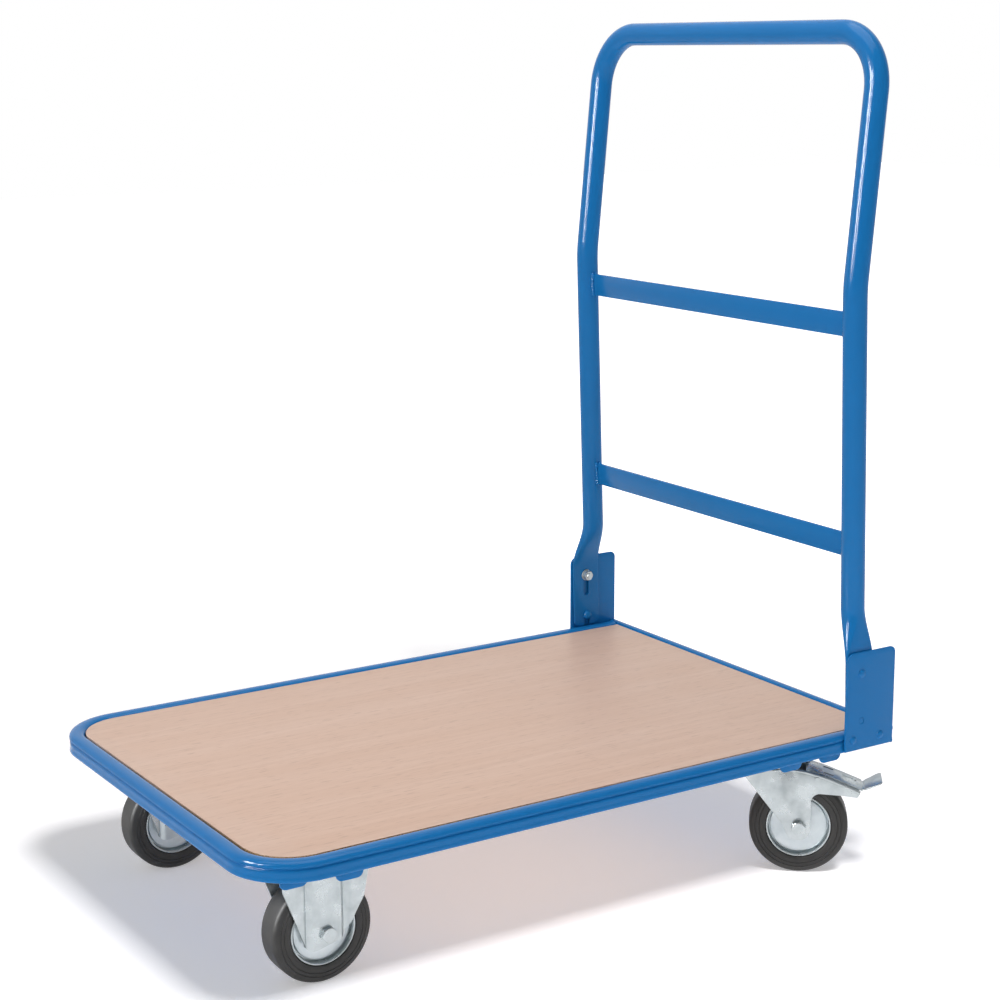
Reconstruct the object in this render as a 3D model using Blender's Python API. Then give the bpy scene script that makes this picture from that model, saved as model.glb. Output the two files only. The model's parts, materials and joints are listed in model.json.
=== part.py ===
"""Platform trolley: a steel-edged board on two fixed and two braked swivel casters, with a push
handle that lifts off its lock pins and folds down over the board.

Metres, +Z up. The origin is on the floor under the middle of the platform. +X points to the
handle end, and "left" is the -Y side, as seen by a person pushing from the handle end.
"""
import math

import bmesh
import bpy
from mathutils import Matrix, Vector

# ---- driving dimensions -------------------------------------------------------------------
GAP = 0.0003                 # air kept between pieces that touch on the real trolley

PLATFORM_LENGTH = 0.900
PLATFORM_WIDTH = 0.600
CORNER_RADIUS = 0.080        # outer radius of the two front corners
RAIL_BOTTOM = 0.163          # underside of the ledge
RAIL_HEIGHT = 0.0225
WALL_DROP = 0.0018           # the outer wall hangs this far below the ledge
GROOVE_UP = 0.0140           # middle of the wall's groove, above the ledge's underside
RAIL_TOP_WIDTH = 0.0205      # rolled top of the side and front rail
REAR_RAIL_WIDTH = 0.014
RAIL_SHEET = 0.002
LEDGE_REACH = 0.035          # how far in the board's ledge reaches from the outer face
BOARD_TOP = 0.1835
BOARD_THICKNESS = 0.0169
BOARD_GAP = 0.0009           # joint between board and rail

WHEEL_RADIUS = 0.0625
TYRE_WIDTH = 0.037
TYRE_BORE = 0.044
HUB_WIDTH = 0.0395
AXLE_RADIUS = 0.006
BEARING_RADIUS = 0.0105
FORK_INNER = 0.0212          # half the clear width between the fork's legs
FORK_SHEET = 0.003
CASTER_TOP = 0.1594          # top of the caster's mounting plate
PLATE_LENGTH = 0.105
PLATE_WIDTH = 0.085

FIXED_X = -0.3315
FIXED_Y = 0.200
SWIVEL_X = 0.3074
SWIVEL_Y = 0.2278
TRAIL = 0.038                # from the swivel axis to the axle
SWIVEL_TURN = math.radians(40)   # rest angle, away from the trolley's middle
CROWN_TOP = 0.141
RACE_OUTER = 0.033
UPPER_RACE_BOTTOM = 0.1478
KING_PIN_RADIUS = 0.006
AXLE_ACROSS_FLATS = 0.017    # hexagon of the axle bolts and nuts

BRACKET_SHEET = 0.003
BRACKET_FRONT = 0.366
BRACKET_REAR = 0.446
BRACKET_TOP = 0.291
PIVOT_X = 0.390
PIVOT_Z = 0.263
PIVOT_BOLT_RADIUS = 0.004
LOCK_PIN_RADIUS = 0.004
LOCK_DROP = 0.062            # lock pin below the pivot, along the handle
RIVET_XS = {"front_rivet_": 0.379, "rear_rivet_": 0.4245}
RIVET_Z = 0.1772
RIVET_RADIUS = 0.003
WASHER_THICKNESS = 0.0012
PIVOT_NUT_THICKNESS = 0.0065

TUBE_RADIUS = 0.015
TUBE_WALL = 0.0015
TUBE_Y = 0.281
TUBE_SET_BACK = 0.004        # the tube's axis stands this far behind the middle of its foot
FOOT_HALF_WIDTH = 0.0225
FOOT_HALF_THICK = 0.0016
FOOT_BOTTOM = 0.186
FLARE_START = 0.276          # the flat foot ends here, and the tube is round at FLARE_END
FLARE_END = 0.346
FLARE_STEPS = 5
LOWER_LEAN = math.radians(-1.9)
UPPER_LEAN = math.radians(5.6)
BEND_HEIGHT = 0.746
BEND_RADIUS = 0.220
HANDLE_TOP = 1.049
TOP_CORNER_RADIUS = 0.069
LIFT = 0.026                 # travel of the slot on the pivot bolt
VENT_RISE = 0.170            # vent hole in each leg, above the pivot
BAR_HEIGHTS = {"upper_cross_bar": 0.700, "lower_cross_bar": 0.423}
BAR_HEIGHT = 0.0305
BAR_THICK = 0.0045

FLANGE_THICKNESS = 0.0025    # upturned edges of the cross members
TAB_HALF_WIDTH = 0.017       # blue tabs under the side rails
TAB_DROP = 0.0125
TAB_CORNER = 0.008
FRONT_TABS = ((-0.398, 0.2795), (-0.336, 0.291))     # (x, outer face) of each tab
REAR_TABS = ((0.289, 0.291), (0.353, 0.291))

LEFT, RIGHT = -1, 1
SIDES = {"left": LEFT, "right": RIGHT}


# ---- helpers ------------------------------------------------------------------------------
def clear_scene():
    for obj in list(bpy.data.objects):
        bpy.data.objects.remove(obj, do_unlink=True)


def make_material(name, colour, roughness, metallic=0.0):
    """A Principled material in one linear colour."""
    material = bpy.data.materials.new(name)
    material.use_nodes = True
    shader = material.node_tree.nodes["Principled BSDF"]
    shader.inputs["Base Color"].default_value = (*colour, 1.0)
    shader.inputs["Roughness"].default_value = roughness
    shader.inputs["Metallic"].default_value = metallic
    return material


def make_materials():
    return {
        "blue": make_material("blue_paint", (0.012, 0.136, 0.430), 0.32),
        "wood": make_material("beech_board", (0.62, 0.46, 0.38), 0.45),
        "zinc": make_material("zinc_plate", (0.58, 0.62, 0.61), 0.38, 0.9),
        "rubber": make_material("black_rubber", (0.021, 0.023, 0.021), 0.6),
        "nylon": make_material("grey_nylon", (0.25, 0.25, 0.26), 0.5),
    }


def place(name, bm, material, parent=None, matrix=None):
    """Make the object `name` from a bmesh; `matrix` places it under its parent."""
    bmesh.ops.recalc_face_normals(bm, faces=bm.faces)
    mesh = bpy.data.meshes.new(name)
    bm.to_mesh(mesh)
    bm.free()
    mesh.shade_smooth()
    mesh.set_sharp_from_angle(angle=math.radians(35))
    mesh.materials.append(material)
    obj = bpy.data.objects.new(name, mesh)
    bpy.context.collection.objects.link(obj)
    obj.parent = parent
    obj.matrix_local = matrix or Matrix.Identity(4)
    return obj


def pivot_empty(name, location, parent=None, turn=0.0):
    """An empty on a joint's axis, which carries the pieces that move about it."""
    empty = bpy.data.objects.new(name, None)
    bpy.context.collection.objects.link(empty)
    empty.parent = parent
    empty.matrix_local = Matrix.Translation(location) @ Matrix.Rotation(turn, 4, "Z")
    return empty


def arc(centre, radius, start, end, steps):
    """Points on an arc, angles in degrees, both ends included."""
    return [(centre[0] + radius * math.cos(math.radians(start + (end - start) * i / steps)),
             centre[1] + radius * math.sin(math.radians(start + (end - start) * i / steps)))
            for i in range(steps + 1)]


def rounded(corners, steps=4):
    """A closed outline from (a, b, radius) corners; a radius of 0 keeps the corner sharp."""
    outline = []
    count = len(corners)
    for i, (a, b, radius) in enumerate(corners):
        here = Vector((a, b))
        if radius == 0:
            outline.append((a, b))
            continue
        before = (Vector(corners[i - 1][:2]) - here).normalized()
        after = (Vector(corners[(i + 1) % count][:2]) - here).normalized()
        half = before.angle(after) / 2
        centre = here + (before + after).normalized() * radius / math.sin(half)
        first = here + before * radius / math.tan(half) - centre
        last = here + after * radius / math.tan(half) - centre
        sweep = first.angle_signed(last)
        for step in range(steps + 1):
            point = centre + Matrix.Rotation(-sweep * step / steps, 2) @ first
            outline.append((point.x, point.y))
    return outline


def prism(outline, low, high, axis):
    """Extrude a closed outline along one axis; the outline's two values fill the other two."""
    spots = {"X": lambda a, b, c: (c, a, b), "Y": lambda a, b, c: (a, c, b),
             "Z": lambda a, b, c: (a, b, c)}[axis]
    bm = bmesh.new()
    face = bm.faces.new([bm.verts.new(spots(a, b, low)) for a, b in outline])
    made = bmesh.ops.extrude_face_region(bm, geom=[face], use_keep_orig=True)
    moved = [item for item in made["geom"] if isinstance(item, bmesh.types.BMVert)]
    bmesh.ops.translate(bm, verts=moved, vec=spots(0, 0, high - low))
    return bm


def block(low, high):
    """A box between two corners."""
    (x0, y0, z0), (x1, y1, z1) = low, high
    return prism([(x0, y0), (x1, y0), (x1, y1), (x0, y1)], z0, z1, "Z")


def rod(radius, low, high, axis, centre=(0.0, 0.0), segments=16):
    """A round bar along one axis; centre is in the other two axes, in X, Y, Z order."""
    return prism(arc(centre, radius, 0, 360 - 360 / segments, segments - 1), low, high, axis)


def turned(profile, segments, axis):
    """A closed (radius, along) profile turned about the axis through the origin."""
    spots = {"Y": lambda r, a: (0, a, -r), "Z": lambda r, a: (r, 0, a)}[axis]
    bm = bmesh.new()
    points = [bm.verts.new(spots(radius, along)) for radius, along in profile]
    edges = [bm.edges.new((points[i - 1], points[i])) for i in range(len(points))]
    turn_axis = (0, 1, 0) if axis == "Y" else (0, 0, 1)
    bmesh.ops.spin(bm, geom=points + edges, cent=(0, 0, 0), axis=turn_axis,
                   angle=math.tau, steps=segments, use_merge=True)
    bmesh.ops.remove_doubles(bm, verts=bm.verts, dist=1e-6)
    return bm


def combine(base, tool, operation):
    """Boolean of two bmeshes, by Blender's exact solver; both inputs are used up."""
    objects = []
    for bm in (base, tool):
        bmesh.ops.recalc_face_normals(bm, faces=bm.faces)
        mesh = bpy.data.meshes.new("working")
        bm.to_mesh(mesh)
        bm.free()
        objects.append(bpy.data.objects.new("working", mesh))
        bpy.context.collection.objects.link(objects[-1])
    modifier = objects[0].modifiers.new("combine", "BOOLEAN")
    modifier.object = objects[1]
    modifier.operation = operation
    modifier.solver = "EXACT"
    result = bmesh.new()
    result.from_object(objects[0], bpy.context.evaluated_depsgraph_get())
    for obj in objects:
        bpy.data.objects.remove(obj, do_unlink=True)
    bmesh.ops.dissolve_limit(result, angle_limit=math.radians(0.1), verts=result.verts,
                             edges=result.edges)
    bmesh.ops.triangulate(result, faces=result.faces)
    return result


def union(base, *tools):
    for tool in tools:
        base = combine(base, tool, "UNION")
    return base


def cut(base, *tools):
    for tool in tools:
        base = combine(base, tool, "DIFFERENCE")
    return base


# ---- platform: rails, board and cross members ------------------------------------------------
def rail_profile(top_width):
    """Rolled sheet section as (inward, up): grooved outer wall, round top, board ledge."""
    t = RAIL_SHEET
    h = RAIL_HEIGHT
    board_bottom = BOARD_TOP - BOARD_THICKNESS - GAP - RAIL_BOTTOM
    outer = arc((0.003, 0.003 - WALL_DROP), 0.003, 270, 180, 2)
    outer += [(0, GROOVE_UP - 0.0024), (0.0022, GROOVE_UP - 0.0007), (0.0022, GROOVE_UP + 0.0007)]
    outer += [(0.0004, GROOVE_UP + 0.0023)] + arc((0.005, h - 0.005), 0.005, 180, 90, 3)
    outer += arc((top_width - 0.004, h - 0.004), 0.004, 90, 0, 2)
    ledge = [(top_width, board_bottom), (LEDGE_REACH, board_bottom), (LEDGE_REACH, 0.0006),
             (top_width - t, 0.0006), (top_width - t, h - 0.004)]
    inner = [(top_width - 0.004, h - t), (0.006, h - t), (0.0028, h - 0.0042),
             (0.0042, GROOVE_UP + 0.0011), (0.0042, GROOVE_UP - 0.0011), (t, GROOVE_UP - 0.0029),
             (t, 0.003 - WALL_DROP), (0.003, 0.0008 - WALL_DROP)]
    return outer + ledge + inner


def make_perimeter_frame(material):
    """Side and front rail in one piece: straight runs pulled out, corners spun."""
    half_length = PLATFORM_LENGTH / 2
    half_width = PLATFORM_WIDTH / 2
    rail_end = half_length - REAR_RAIL_WIDTH - GAP
    corner_x = -half_length + CORNER_RADIUS
    corner_y = half_width - CORNER_RADIUS
    bm = bmesh.new()
    loop = [bm.verts.new((rail_end, -half_width + inward, RAIL_BOTTOM + up))
            for inward, up in rail_profile(RAIL_TOP_WIDTH)]
    first = [bm.edges.new((loop[i - 1], loop[i])) for i in range(len(loop))]

    def pull(edges, vector):
        made = bmesh.ops.extrude_edge_only(bm, edges=edges)["geom"]
        bmesh.ops.translate(bm, verts=[g for g in made if isinstance(g, bmesh.types.BMVert)], vec=vector)
        return [g for g in made if isinstance(g, bmesh.types.BMEdge)]

    def turn(edges, centre):
        verts = list({v for edge in edges for v in edge.verts})
        made = bmesh.ops.spin(bm, geom=verts + edges, cent=centre, axis=(0, 0, 1),
                              angle=math.radians(-90), steps=7)["geom_last"]
        return [g for g in made if isinstance(g, bmesh.types.BMEdge)]

    last = pull(first, (corner_x - rail_end, 0, 0))
    last = turn(last, (corner_x, -corner_y, 0))
    last = pull(last, (0, 2 * corner_y, 0))
    last = turn(last, (corner_x, corner_y, 0))
    last = pull(last, (rail_end - corner_x, 0, 0))
    for end in (first, last):
        bmesh.ops.contextual_create(bm, geom=end)
    for side in (LEFT, RIGHT):
        for rivet_x in RIVET_XS.values():
            wall = sorted((side * (half_width + 0.001), side * (half_width - 0.006)))
            bm = cut(bm, rod(RIVET_RADIUS + GAP, *wall, "Y", (rivet_x, RIVET_Z), segments=8))
    return place("perimeter_frame", bm, material)


def make_rear_rail(material):
    """Straight rail across the handle end; it runs the full width, past the side rails' ends."""
    rear = PLATFORM_LENGTH / 2
    outline = [(rear - inward, RAIL_BOTTOM + up) for inward, up in rail_profile(REAR_RAIL_WIDTH)]
    half = PLATFORM_WIDTH / 2 - LEDGE_REACH - GAP
    bm = prism(outline, -half, half, "Y")
    for side in (LEFT, RIGHT):
        low, high = sorted((side * (half - 0.001), side * PLATFORM_WIDTH / 2))
        cap = [(rear - 0.003, RAIL_BOTTOM + 0.0024, 0), (rear - 0.0008, RAIL_BOTTOM + 0.0024, 0),
               (rear, RAIL_BOTTOM + 0.004, 0), (rear, RAIL_BOTTOM + RAIL_HEIGHT - 0.002, 0.0015),
               (rear - REAR_RAIL_WIDTH, RAIL_BOTTOM + RAIL_HEIGHT - 0.001, 0.001),
               (rear - REAR_RAIL_WIDTH, RAIL_BOTTOM + RAIL_HEIGHT - 0.004, 0),
               (rear - 0.003, RAIL_BOTTOM + RAIL_HEIGHT - 0.004, 0)]
        bm = union(bm, prism(rounded(cap, 2), low, high, "Y"))
    return place("rear_rail", bm, material)


def make_deck_board(material):
    """Board let into the rails, with the two front corners rounded."""
    inset = RAIL_TOP_WIDTH + BOARD_GAP
    front = -PLATFORM_LENGTH / 2 + inset
    rear = PLATFORM_LENGTH / 2 - REAR_RAIL_WIDTH - BOARD_GAP
    side = PLATFORM_WIDTH / 2 - inset
    radius = CORNER_RADIUS - inset
    outline = rounded([(rear, -side, 0), (rear, side, 0), (front, side, radius),
                       (front, -side, radius)], 8)
    return place("deck_board", prism(outline, BOARD_TOP - BOARD_THICKNESS, BOARD_TOP, "Z"), material)


def make_cross_member(name, plate_x, tabs, material):
    """Pressed channel under the board that carries two casters, with rounded tabs under the rail."""
    web_low, web_high = CASTER_TOP + GAP, RAIL_BOTTOM - GAP
    half_width = PLATE_LENGTH / 2 + 0.012
    reach = PLATFORM_WIDTH / 2 - LEDGE_REACH - 0.001
    flange_reach = PLATFORM_WIDTH / 2 - CORNER_RADIUS + 0.030
    front, rear = plate_x - half_width, plate_x + half_width
    bm = block((front, -reach - 0.010, web_low), (rear, reach + 0.010, web_high))
    flange_top = BOARD_TOP - BOARD_THICKNESS - GAP
    for low in (front, rear - FLANGE_THICKNESS):
        bm = union(bm, block((low, -flange_reach, web_high - 0.001),
                             (low + FLANGE_THICKNESS, flange_reach, flange_top)))
    tab_bottom = RAIL_BOTTOM - TAB_DROP
    corner_x = TAB_HALF_WIDTH - TAB_CORNER
    corner_z = tab_bottom + TAB_CORNER
    for side in (LEFT, RIGHT):
        for tab_x, tab_outer in tabs:
            arm = sorted((side * reach, side * tab_outer))
            bm = union(bm, block((tab_x - TAB_HALF_WIDTH, arm[0], web_low),
                                 (tab_x + TAB_HALF_WIDTH, arm[1], web_high)))
            lip = sorted((side * (tab_outer - 0.003), side * tab_outer))
            shape = [(tab_x + TAB_HALF_WIDTH, web_high - 0.001)]
            shape += arc((tab_x + corner_x, corner_z), TAB_CORNER, 0, -90, 3)
            shape += arc((tab_x - corner_x, corner_z), TAB_CORNER, -90, -180, 3)
            shape += [(tab_x - TAB_HALF_WIDTH, web_high - 0.001)]
            bm = union(bm, prism(shape, *lip, "Y"))
    return place(name, bm, material)


# ---- handle brackets and their fasteners ------------------------------------------------------
def handle_point(along):
    """X and Z of the handle's lower axis, at a distance up from the pivot."""
    return (PIVOT_X + along * math.sin(LOWER_LEAN), PIVOT_Z + along * math.cos(LOWER_LEAN))


def make_bracket(name, side, material):
    outline = rounded([(BRACKET_FRONT, RAIL_BOTTOM, 0), (BRACKET_REAR, RAIL_BOTTOM, 0.004),
                       (BRACKET_REAR, BRACKET_TOP, 0.008), (BRACKET_FRONT, BRACKET_TOP, 0.011)])
    inner = PLATFORM_WIDTH / 2 + GAP
    low, high = sorted((side * inner, side * (inner + BRACKET_SHEET)))
    bm = prism(outline, low, high, "Y")
    holes = [(PIVOT_X, PIVOT_Z, PIVOT_BOLT_RADIUS), (*handle_point(-LOCK_DROP), LOCK_PIN_RADIUS)]
    holes += [(x, RIVET_Z, RIVET_RADIUS) for x in RIVET_XS.values()]
    for x, z, radius in holes:
        bm = cut(bm, rod(radius + GAP, low - 0.001, high + 0.001, "Y", (x, z), segments=12))
    return place(name, bm, material)


def make_rivet(name, side, x, material):
    """Solid rivet through bracket and rail: domed head outside, flat set head inside."""
    face = PLATFORM_WIDTH / 2 + GAP + BRACKET_SHEET + GAP
    profile = [(0, face + 0.0024), (0.0030, face + 0.0018), (0.0050, face), (RIVET_RADIUS, face),
               (RIVET_RADIUS, face - 0.0084), (0.0040, face - 0.0084), (0.0036, face - 0.0098),
               (0, face - 0.0098)]
    bm = turned([(r, side * along) for r, along in profile], 10, "Y")
    return place(name, bm, material, None, Matrix.Translation((x, 0, RIVET_Z)))


def make_lock_pin(name, side, material):
    """Pin fixed in the bracket, with a domed head inside the handle's foot."""
    outer = PLATFORM_WIDTH / 2 + GAP + BRACKET_SHEET
    foot_inner = PLATFORM_WIDTH / 2 - 2 * FOOT_HALF_THICK - 2 * GAP
    profile = [(0, outer), (LOCK_PIN_RADIUS, outer), (LOCK_PIN_RADIUS, foot_inner),
               (0.0066, foot_inner), (0.0060, foot_inner - 0.0030), (0.0036, foot_inner - 0.0050),
               (0, foot_inner - 0.0056)]
    bm = turned([(r, side * along) for r, along in profile], 12, "Y")
    x, z = handle_point(-LOCK_DROP)
    return place(name, bm, material, None, Matrix.Translation((x, 0, z)))


def make_pivot_bolt(name, side, material, parent):
    outer = PLATFORM_WIDTH / 2 + 2 * GAP + BRACKET_SHEET
    tip = PLATFORM_WIDTH / 2 - 0.0145
    profile = [(0, outer + 0.0022), (0.0040, outer + 0.0016), (0.0058, outer),
               (PIVOT_BOLT_RADIUS, outer), (PIVOT_BOLT_RADIUS, tip + 0.0006),
               (PIVOT_BOLT_RADIUS - 0.0007, tip), (0, tip)]
    bm = turned([(r, side * along) for r, along in profile], 12, "Y")
    return place(name, bm, material, parent)


def make_pivot_washer(name, side, material, parent):
    face = PLATFORM_WIDTH / 2 - 2 * FOOT_HALF_THICK - 2 * GAP
    hole = PIVOT_BOLT_RADIUS + GAP
    profile = [(hole, face), (0.0080, face), (0.0080, face - WASHER_THICKNESS),
               (hole, face - WASHER_THICKNESS)]
    bm = turned([(r, side * along) for r, along in profile], 12, "Y")
    return place(name, bm, material, parent)


def make_hex_nut(across_flats, thickness, hole):
    """A hexagon nut along Y from 0 to its thickness."""
    bm = prism(arc((0, 0), across_flats / math.sqrt(3), 0, 300, 5), 0, thickness, "Y")
    return cut(bm, rod(hole, -0.001, thickness + 0.001, "Y"))


def make_pivot_nut(name, side, material, parent):
    face = PLATFORM_WIDTH / 2 - 2 * FOOT_HALF_THICK - WASHER_THICKNESS - 3 * GAP
    bm = make_hex_nut(0.013, PIVOT_NUT_THICKNESS, PIVOT_BOLT_RADIUS + GAP)
    near = side * face if side < 0 else face - PIVOT_NUT_THICKNESS
    return place(name, bm, material, parent, Matrix.Translation((0, near, 0)))


# ---- handle ---------------------------------------------------------------------------------
def handle_centreline():
    """Points up the right leg to the middle of the top: (x, y, z, lean, flatness)."""
    outer_face = PLATFORM_WIDTH / 2 - GAP
    inset = outer_face - TUBE_Y - TUBE_RADIUS
    points = []
    heights = {FOOT_BOTTOM: 1.0}
    for step in range(FLARE_STEPS + 1):
        eased = (step / FLARE_STEPS) ** 2 * (3 - 2 * step / FLARE_STEPS)
        heights[FLARE_START + (FLARE_END - FLARE_START) * step / FLARE_STEPS] = 1 - eased
    for z, flat in heights.items():
        along = (z - PIVOT_Z) / math.cos(LOWER_LEAN)
        x, height = handle_point(along)
        x += TUBE_SET_BACK * (1 - flat)
        half_thick = TUBE_RADIUS + (FOOT_HALF_THICK - TUBE_RADIUS) * flat
        points.append((x, outer_face - inset * (1 - flat) - half_thick, height, LOWER_LEAN, flat))
    swing = UPPER_LEAN - LOWER_LEAN
    tangent = BEND_RADIUS * math.tan(swing / 2)
    bend_x, bend_z = handle_point((BEND_HEIGHT - PIVOT_Z) / math.cos(LOWER_LEAN))
    bend_x += TUBE_SET_BACK
    centre_x = bend_x - tangent * math.sin(LOWER_LEAN) + BEND_RADIUS * math.cos(LOWER_LEAN)
    centre_z = bend_z - tangent * math.cos(LOWER_LEAN) - BEND_RADIUS * math.sin(LOWER_LEAN)
    for step in range(4):
        lean = LOWER_LEAN + swing * step / 3
        points.append((centre_x - BEND_RADIUS * math.cos(lean), TUBE_Y,
                       centre_z + BEND_RADIUS * math.sin(lean), lean, 0))
    corner_rise = (HANDLE_TOP - TOP_CORNER_RADIUS - bend_z) / math.cos(UPPER_LEAN)
    for step in range(9):
        angle = math.radians(90) * step / 8
        rise = corner_rise + TOP_CORNER_RADIUS * math.sin(angle)
        y = TUBE_Y - TOP_CORNER_RADIUS * (1 - math.cos(angle))
        points.append((bend_x + rise * math.sin(UPPER_LEAN), y,
                       bend_z + rise * math.cos(UPPER_LEAN), UPPER_LEAN, 0))
    return points


def tube_section(flat, wall):
    """12 points of the tube's section as (across, through), pressed flat as `flat` goes to 1."""
    half_wide = TUBE_RADIUS + (FOOT_HALF_WIDTH - TUBE_RADIUS) * flat - wall
    half_thick = TUBE_RADIUS + (FOOT_HALF_THICK - TUBE_RADIUS) * flat - wall
    half_thick = max(half_thick, 0.0002)
    section = []
    for i in range(12):
        angle = math.radians(15 + 30 * i)
        side = 1 if math.cos(angle) > 0 else -1
        section.append((side * (half_wide - half_thick) + half_thick * math.cos(angle),
                        half_thick * math.sin(angle)))
    return section


def tube_skin(stations, wall):
    """Closed skin round a list of (x, y, z, lean, flatness) stations, in the pivot's frame."""
    bm = bmesh.new()
    rings = []
    for i, (x, y, z, lean, flat) in enumerate(stations):
        before, after = stations[max(i - 1, 0)], stations[min(i + 1, len(stations) - 1)]
        run = Vector([after[k] - before[k] for k in range(3)]).normalized()
        across = Vector((math.cos(lean), 0, -math.sin(lean)))
        if flat > 0:
            run = Vector((math.sin(lean), 0, math.cos(lean))) * (1 if i < len(stations) / 2 else -1)
        through = run.cross(across).normalized()
        base = Vector((x - PIVOT_X, y, z - PIVOT_Z))
        rings.append([bm.verts.new(base + across * a + through * t) for a, t in tube_section(flat, wall)])
    for lower, upper in zip(rings, rings[1:]):
        for i in range(12):
            bm.faces.new((lower[i - 1], lower[i], upper[i], upper[i - 1]))
    bm.faces.new(rings[0])
    bm.faces.new(rings[-1])
    return bm


def foot_cutters(side):
    """Slot for the pivot bolt, and the open notch that drops over the lock pin."""
    slot_half = PIVOT_BOLT_RADIUS + 0.0008
    slot = arc((0, 0.0042), slot_half, 0, 180, 6) + arc((0, -LIFT - GAP * 3), slot_half, 180, 360, 6)
    notch_half = LOCK_PIN_RADIUS + 0.0006
    clear_radius = LOCK_DROP - notch_half
    first = math.degrees(math.asin(notch_half / clear_radius))
    relief = arc((0, 0), clear_radius, 270 + first, 235, 8)
    relief += [(-0.040, -0.060), (-0.040, -0.090), (notch_half, -0.090)]
    low, high = sorted((side * (PLATFORM_WIDTH / 2 - 0.006), side * (PLATFORM_WIDTH / 2 + 0.002)))
    lean = Matrix.Rotation(LOWER_LEAN, 4, "Y")
    cutters = []
    for outline in (slot, relief):
        bm = prism(outline, low, high, "Y")
        bmesh.ops.transform(bm, matrix=lean, verts=bm.verts)
        cutters.append(bm)
    return cutters


def make_handle_tube(material, parent):
    """The bow: flattened feet, a soft bend, a square-cornered top, and a vent hole in each leg."""
    right = handle_centreline()
    left = [(x, -y, z, lean, flat) for x, y, z, lean, flat in reversed(right)]
    stations = right + left
    hollow = tube_skin([s for s in stations if s[4] < 0.95], TUBE_WALL)
    vent_x, vent_z = handle_point(VENT_RISE)
    for side in (LEFT, RIGHT):
        low, high = sorted((side * (TUBE_Y - 0.020), side * TUBE_Y))
        vent_spot = (vent_x + TUBE_SET_BACK - PIVOT_X, vent_z - PIVOT_Z)
        vent = rod(0.0025, low, high, "Y", vent_spot, segments=8)
        hollow = union(hollow, vent)
    bm = cut(tube_skin(stations, 0), hollow)
    for side in (LEFT, RIGHT):
        bm = cut(bm, *foot_cutters(side))
    return place("handle_tube", bm, material, parent)


def make_cross_bar(name, height, material, parent):
    x, z = handle_point((height - PIVOT_Z) / math.cos(LOWER_LEAN))
    reach = TUBE_Y - TUBE_RADIUS - GAP
    bm = block((-BAR_THICK / 2, -reach, -BAR_HEIGHT / 2), (BAR_THICK / 2, reach, BAR_HEIGHT / 2))
    spot = Matrix.Translation((x + TUBE_SET_BACK - PIVOT_X, 0, z - PIVOT_Z))
    return place(name, bm, material, parent, spot @ Matrix.Rotation(LOWER_LEAN, 4, "Y"))


# ---- wheels ---------------------------------------------------------------------------------
def make_tyre(name, material, parent):
    half = TYRE_WIDTH / 2
    profile = [(TYRE_BORE, half - 0.0015), (0.0520, half), (0.0575, half - 0.0020),
               (0.0612, half - 0.0065), (WHEEL_RADIUS, 0.004)]
    profile += [(r, -along) for r, along in reversed(profile)]
    return place(name, turned(profile, 32, "Y"), material, parent)


def make_rim(name, material, parent):
    """Pressed steel wheel body: hub sleeve, web and tyre seat."""
    hub = HUB_WIDTH / 2
    seat = TYRE_BORE - GAP
    profile = [(BEARING_RADIUS + GAP, hub), (0.0140, hub), (0.0140, 0.0030), (0.0385, 0.0030),
               (0.0385, 0.0150), (seat, 0.0150)]
    profile += [(r, -along) for r, along in reversed(profile)]
    return place(name, turned(profile, 20, "Y"), material, parent)


def make_bearing(name, material, parent):
    half = HUB_WIDTH / 2
    profile = [(AXLE_RADIUS + GAP, half), (BEARING_RADIUS, half), (BEARING_RADIUS, -half),
               (AXLE_RADIUS + GAP, -half)]
    return place(name, turned(profile, 16, "Y"), material, parent)


def make_wheel(prefix, materials, parent):
    axis = pivot_empty(prefix + "_wheel_axis", (TRAIL if "rear" in prefix else 0, 0, WHEEL_RADIUS), parent)
    make_tyre(prefix + "_tyre", materials["rubber"], axis)
    make_rim(prefix + "_rim", materials["zinc"], axis)
    make_bearing(prefix + "_bearing", materials["nylon"], axis)


def make_axle(prefix, x, materials, parent):
    """Hexagon bolt through the fork, head on the outer side, and its nut."""
    outer = FORK_INNER + FORK_SHEET + GAP
    corner = AXLE_ACROSS_FLATS / math.sqrt(3)
    head = prism(arc((0, 0), corner, 0, 300, 5), -outer - 0.0064, -outer, "Y")
    bolt = union(head, rod(AXLE_RADIUS, -outer - 0.001, outer + 0.0105, "Y"))
    spot = Matrix.Translation((x, 0, WHEEL_RADIUS))
    place(prefix + "_axle_bolt", bolt, materials["zinc"], parent, spot)
    nut = make_hex_nut(AXLE_ACROSS_FLATS, 0.008, AXLE_RADIUS + GAP)
    shift = Matrix.Translation((0, outer, 0))
    place(prefix + "_axle_nut", nut, materials["zinc"], parent, spot @ shift)


# ---- casters --------------------------------------------------------------------------------
def both_legs(outline, hole_x):
    """Two sheet legs of one outline (along, up), each with its axle hole."""
    legs = []
    for side in (LEFT, RIGHT):
        low, high = sorted((side * FORK_INNER, side * (FORK_INNER + FORK_SHEET)))
        leg = prism(outline, low, high, "Y")
        hole = rod(AXLE_RADIUS + GAP, low - 0.001, high + 0.001, "Y", (hole_x, WHEEL_RADIUS), segments=12)
        legs.append(cut(leg, hole))
    return legs


def make_fixed_fork(name, material, parent):
    """Mounting plate with two tapering legs, in one pressing."""
    plate_low = CASTER_TOP - FORK_SHEET
    plate = block((-PLATE_LENGTH / 2, -PLATE_WIDTH / 2, plate_low),
                  (PLATE_LENGTH / 2, PLATE_WIDTH / 2, CASTER_TOP))
    outline = rounded([(-0.052, plate_low + 0.001, 0), (-0.048, 0.124, 0.010), (-0.022, 0.046, 0.006),
                       (0.022, 0.054, 0.006), (0.048, 0.124, 0.010), (0.052, plate_low + 0.001, 0)], 3)
    return place(name, union(plate, *both_legs(outline, 0)), material, parent)


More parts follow.
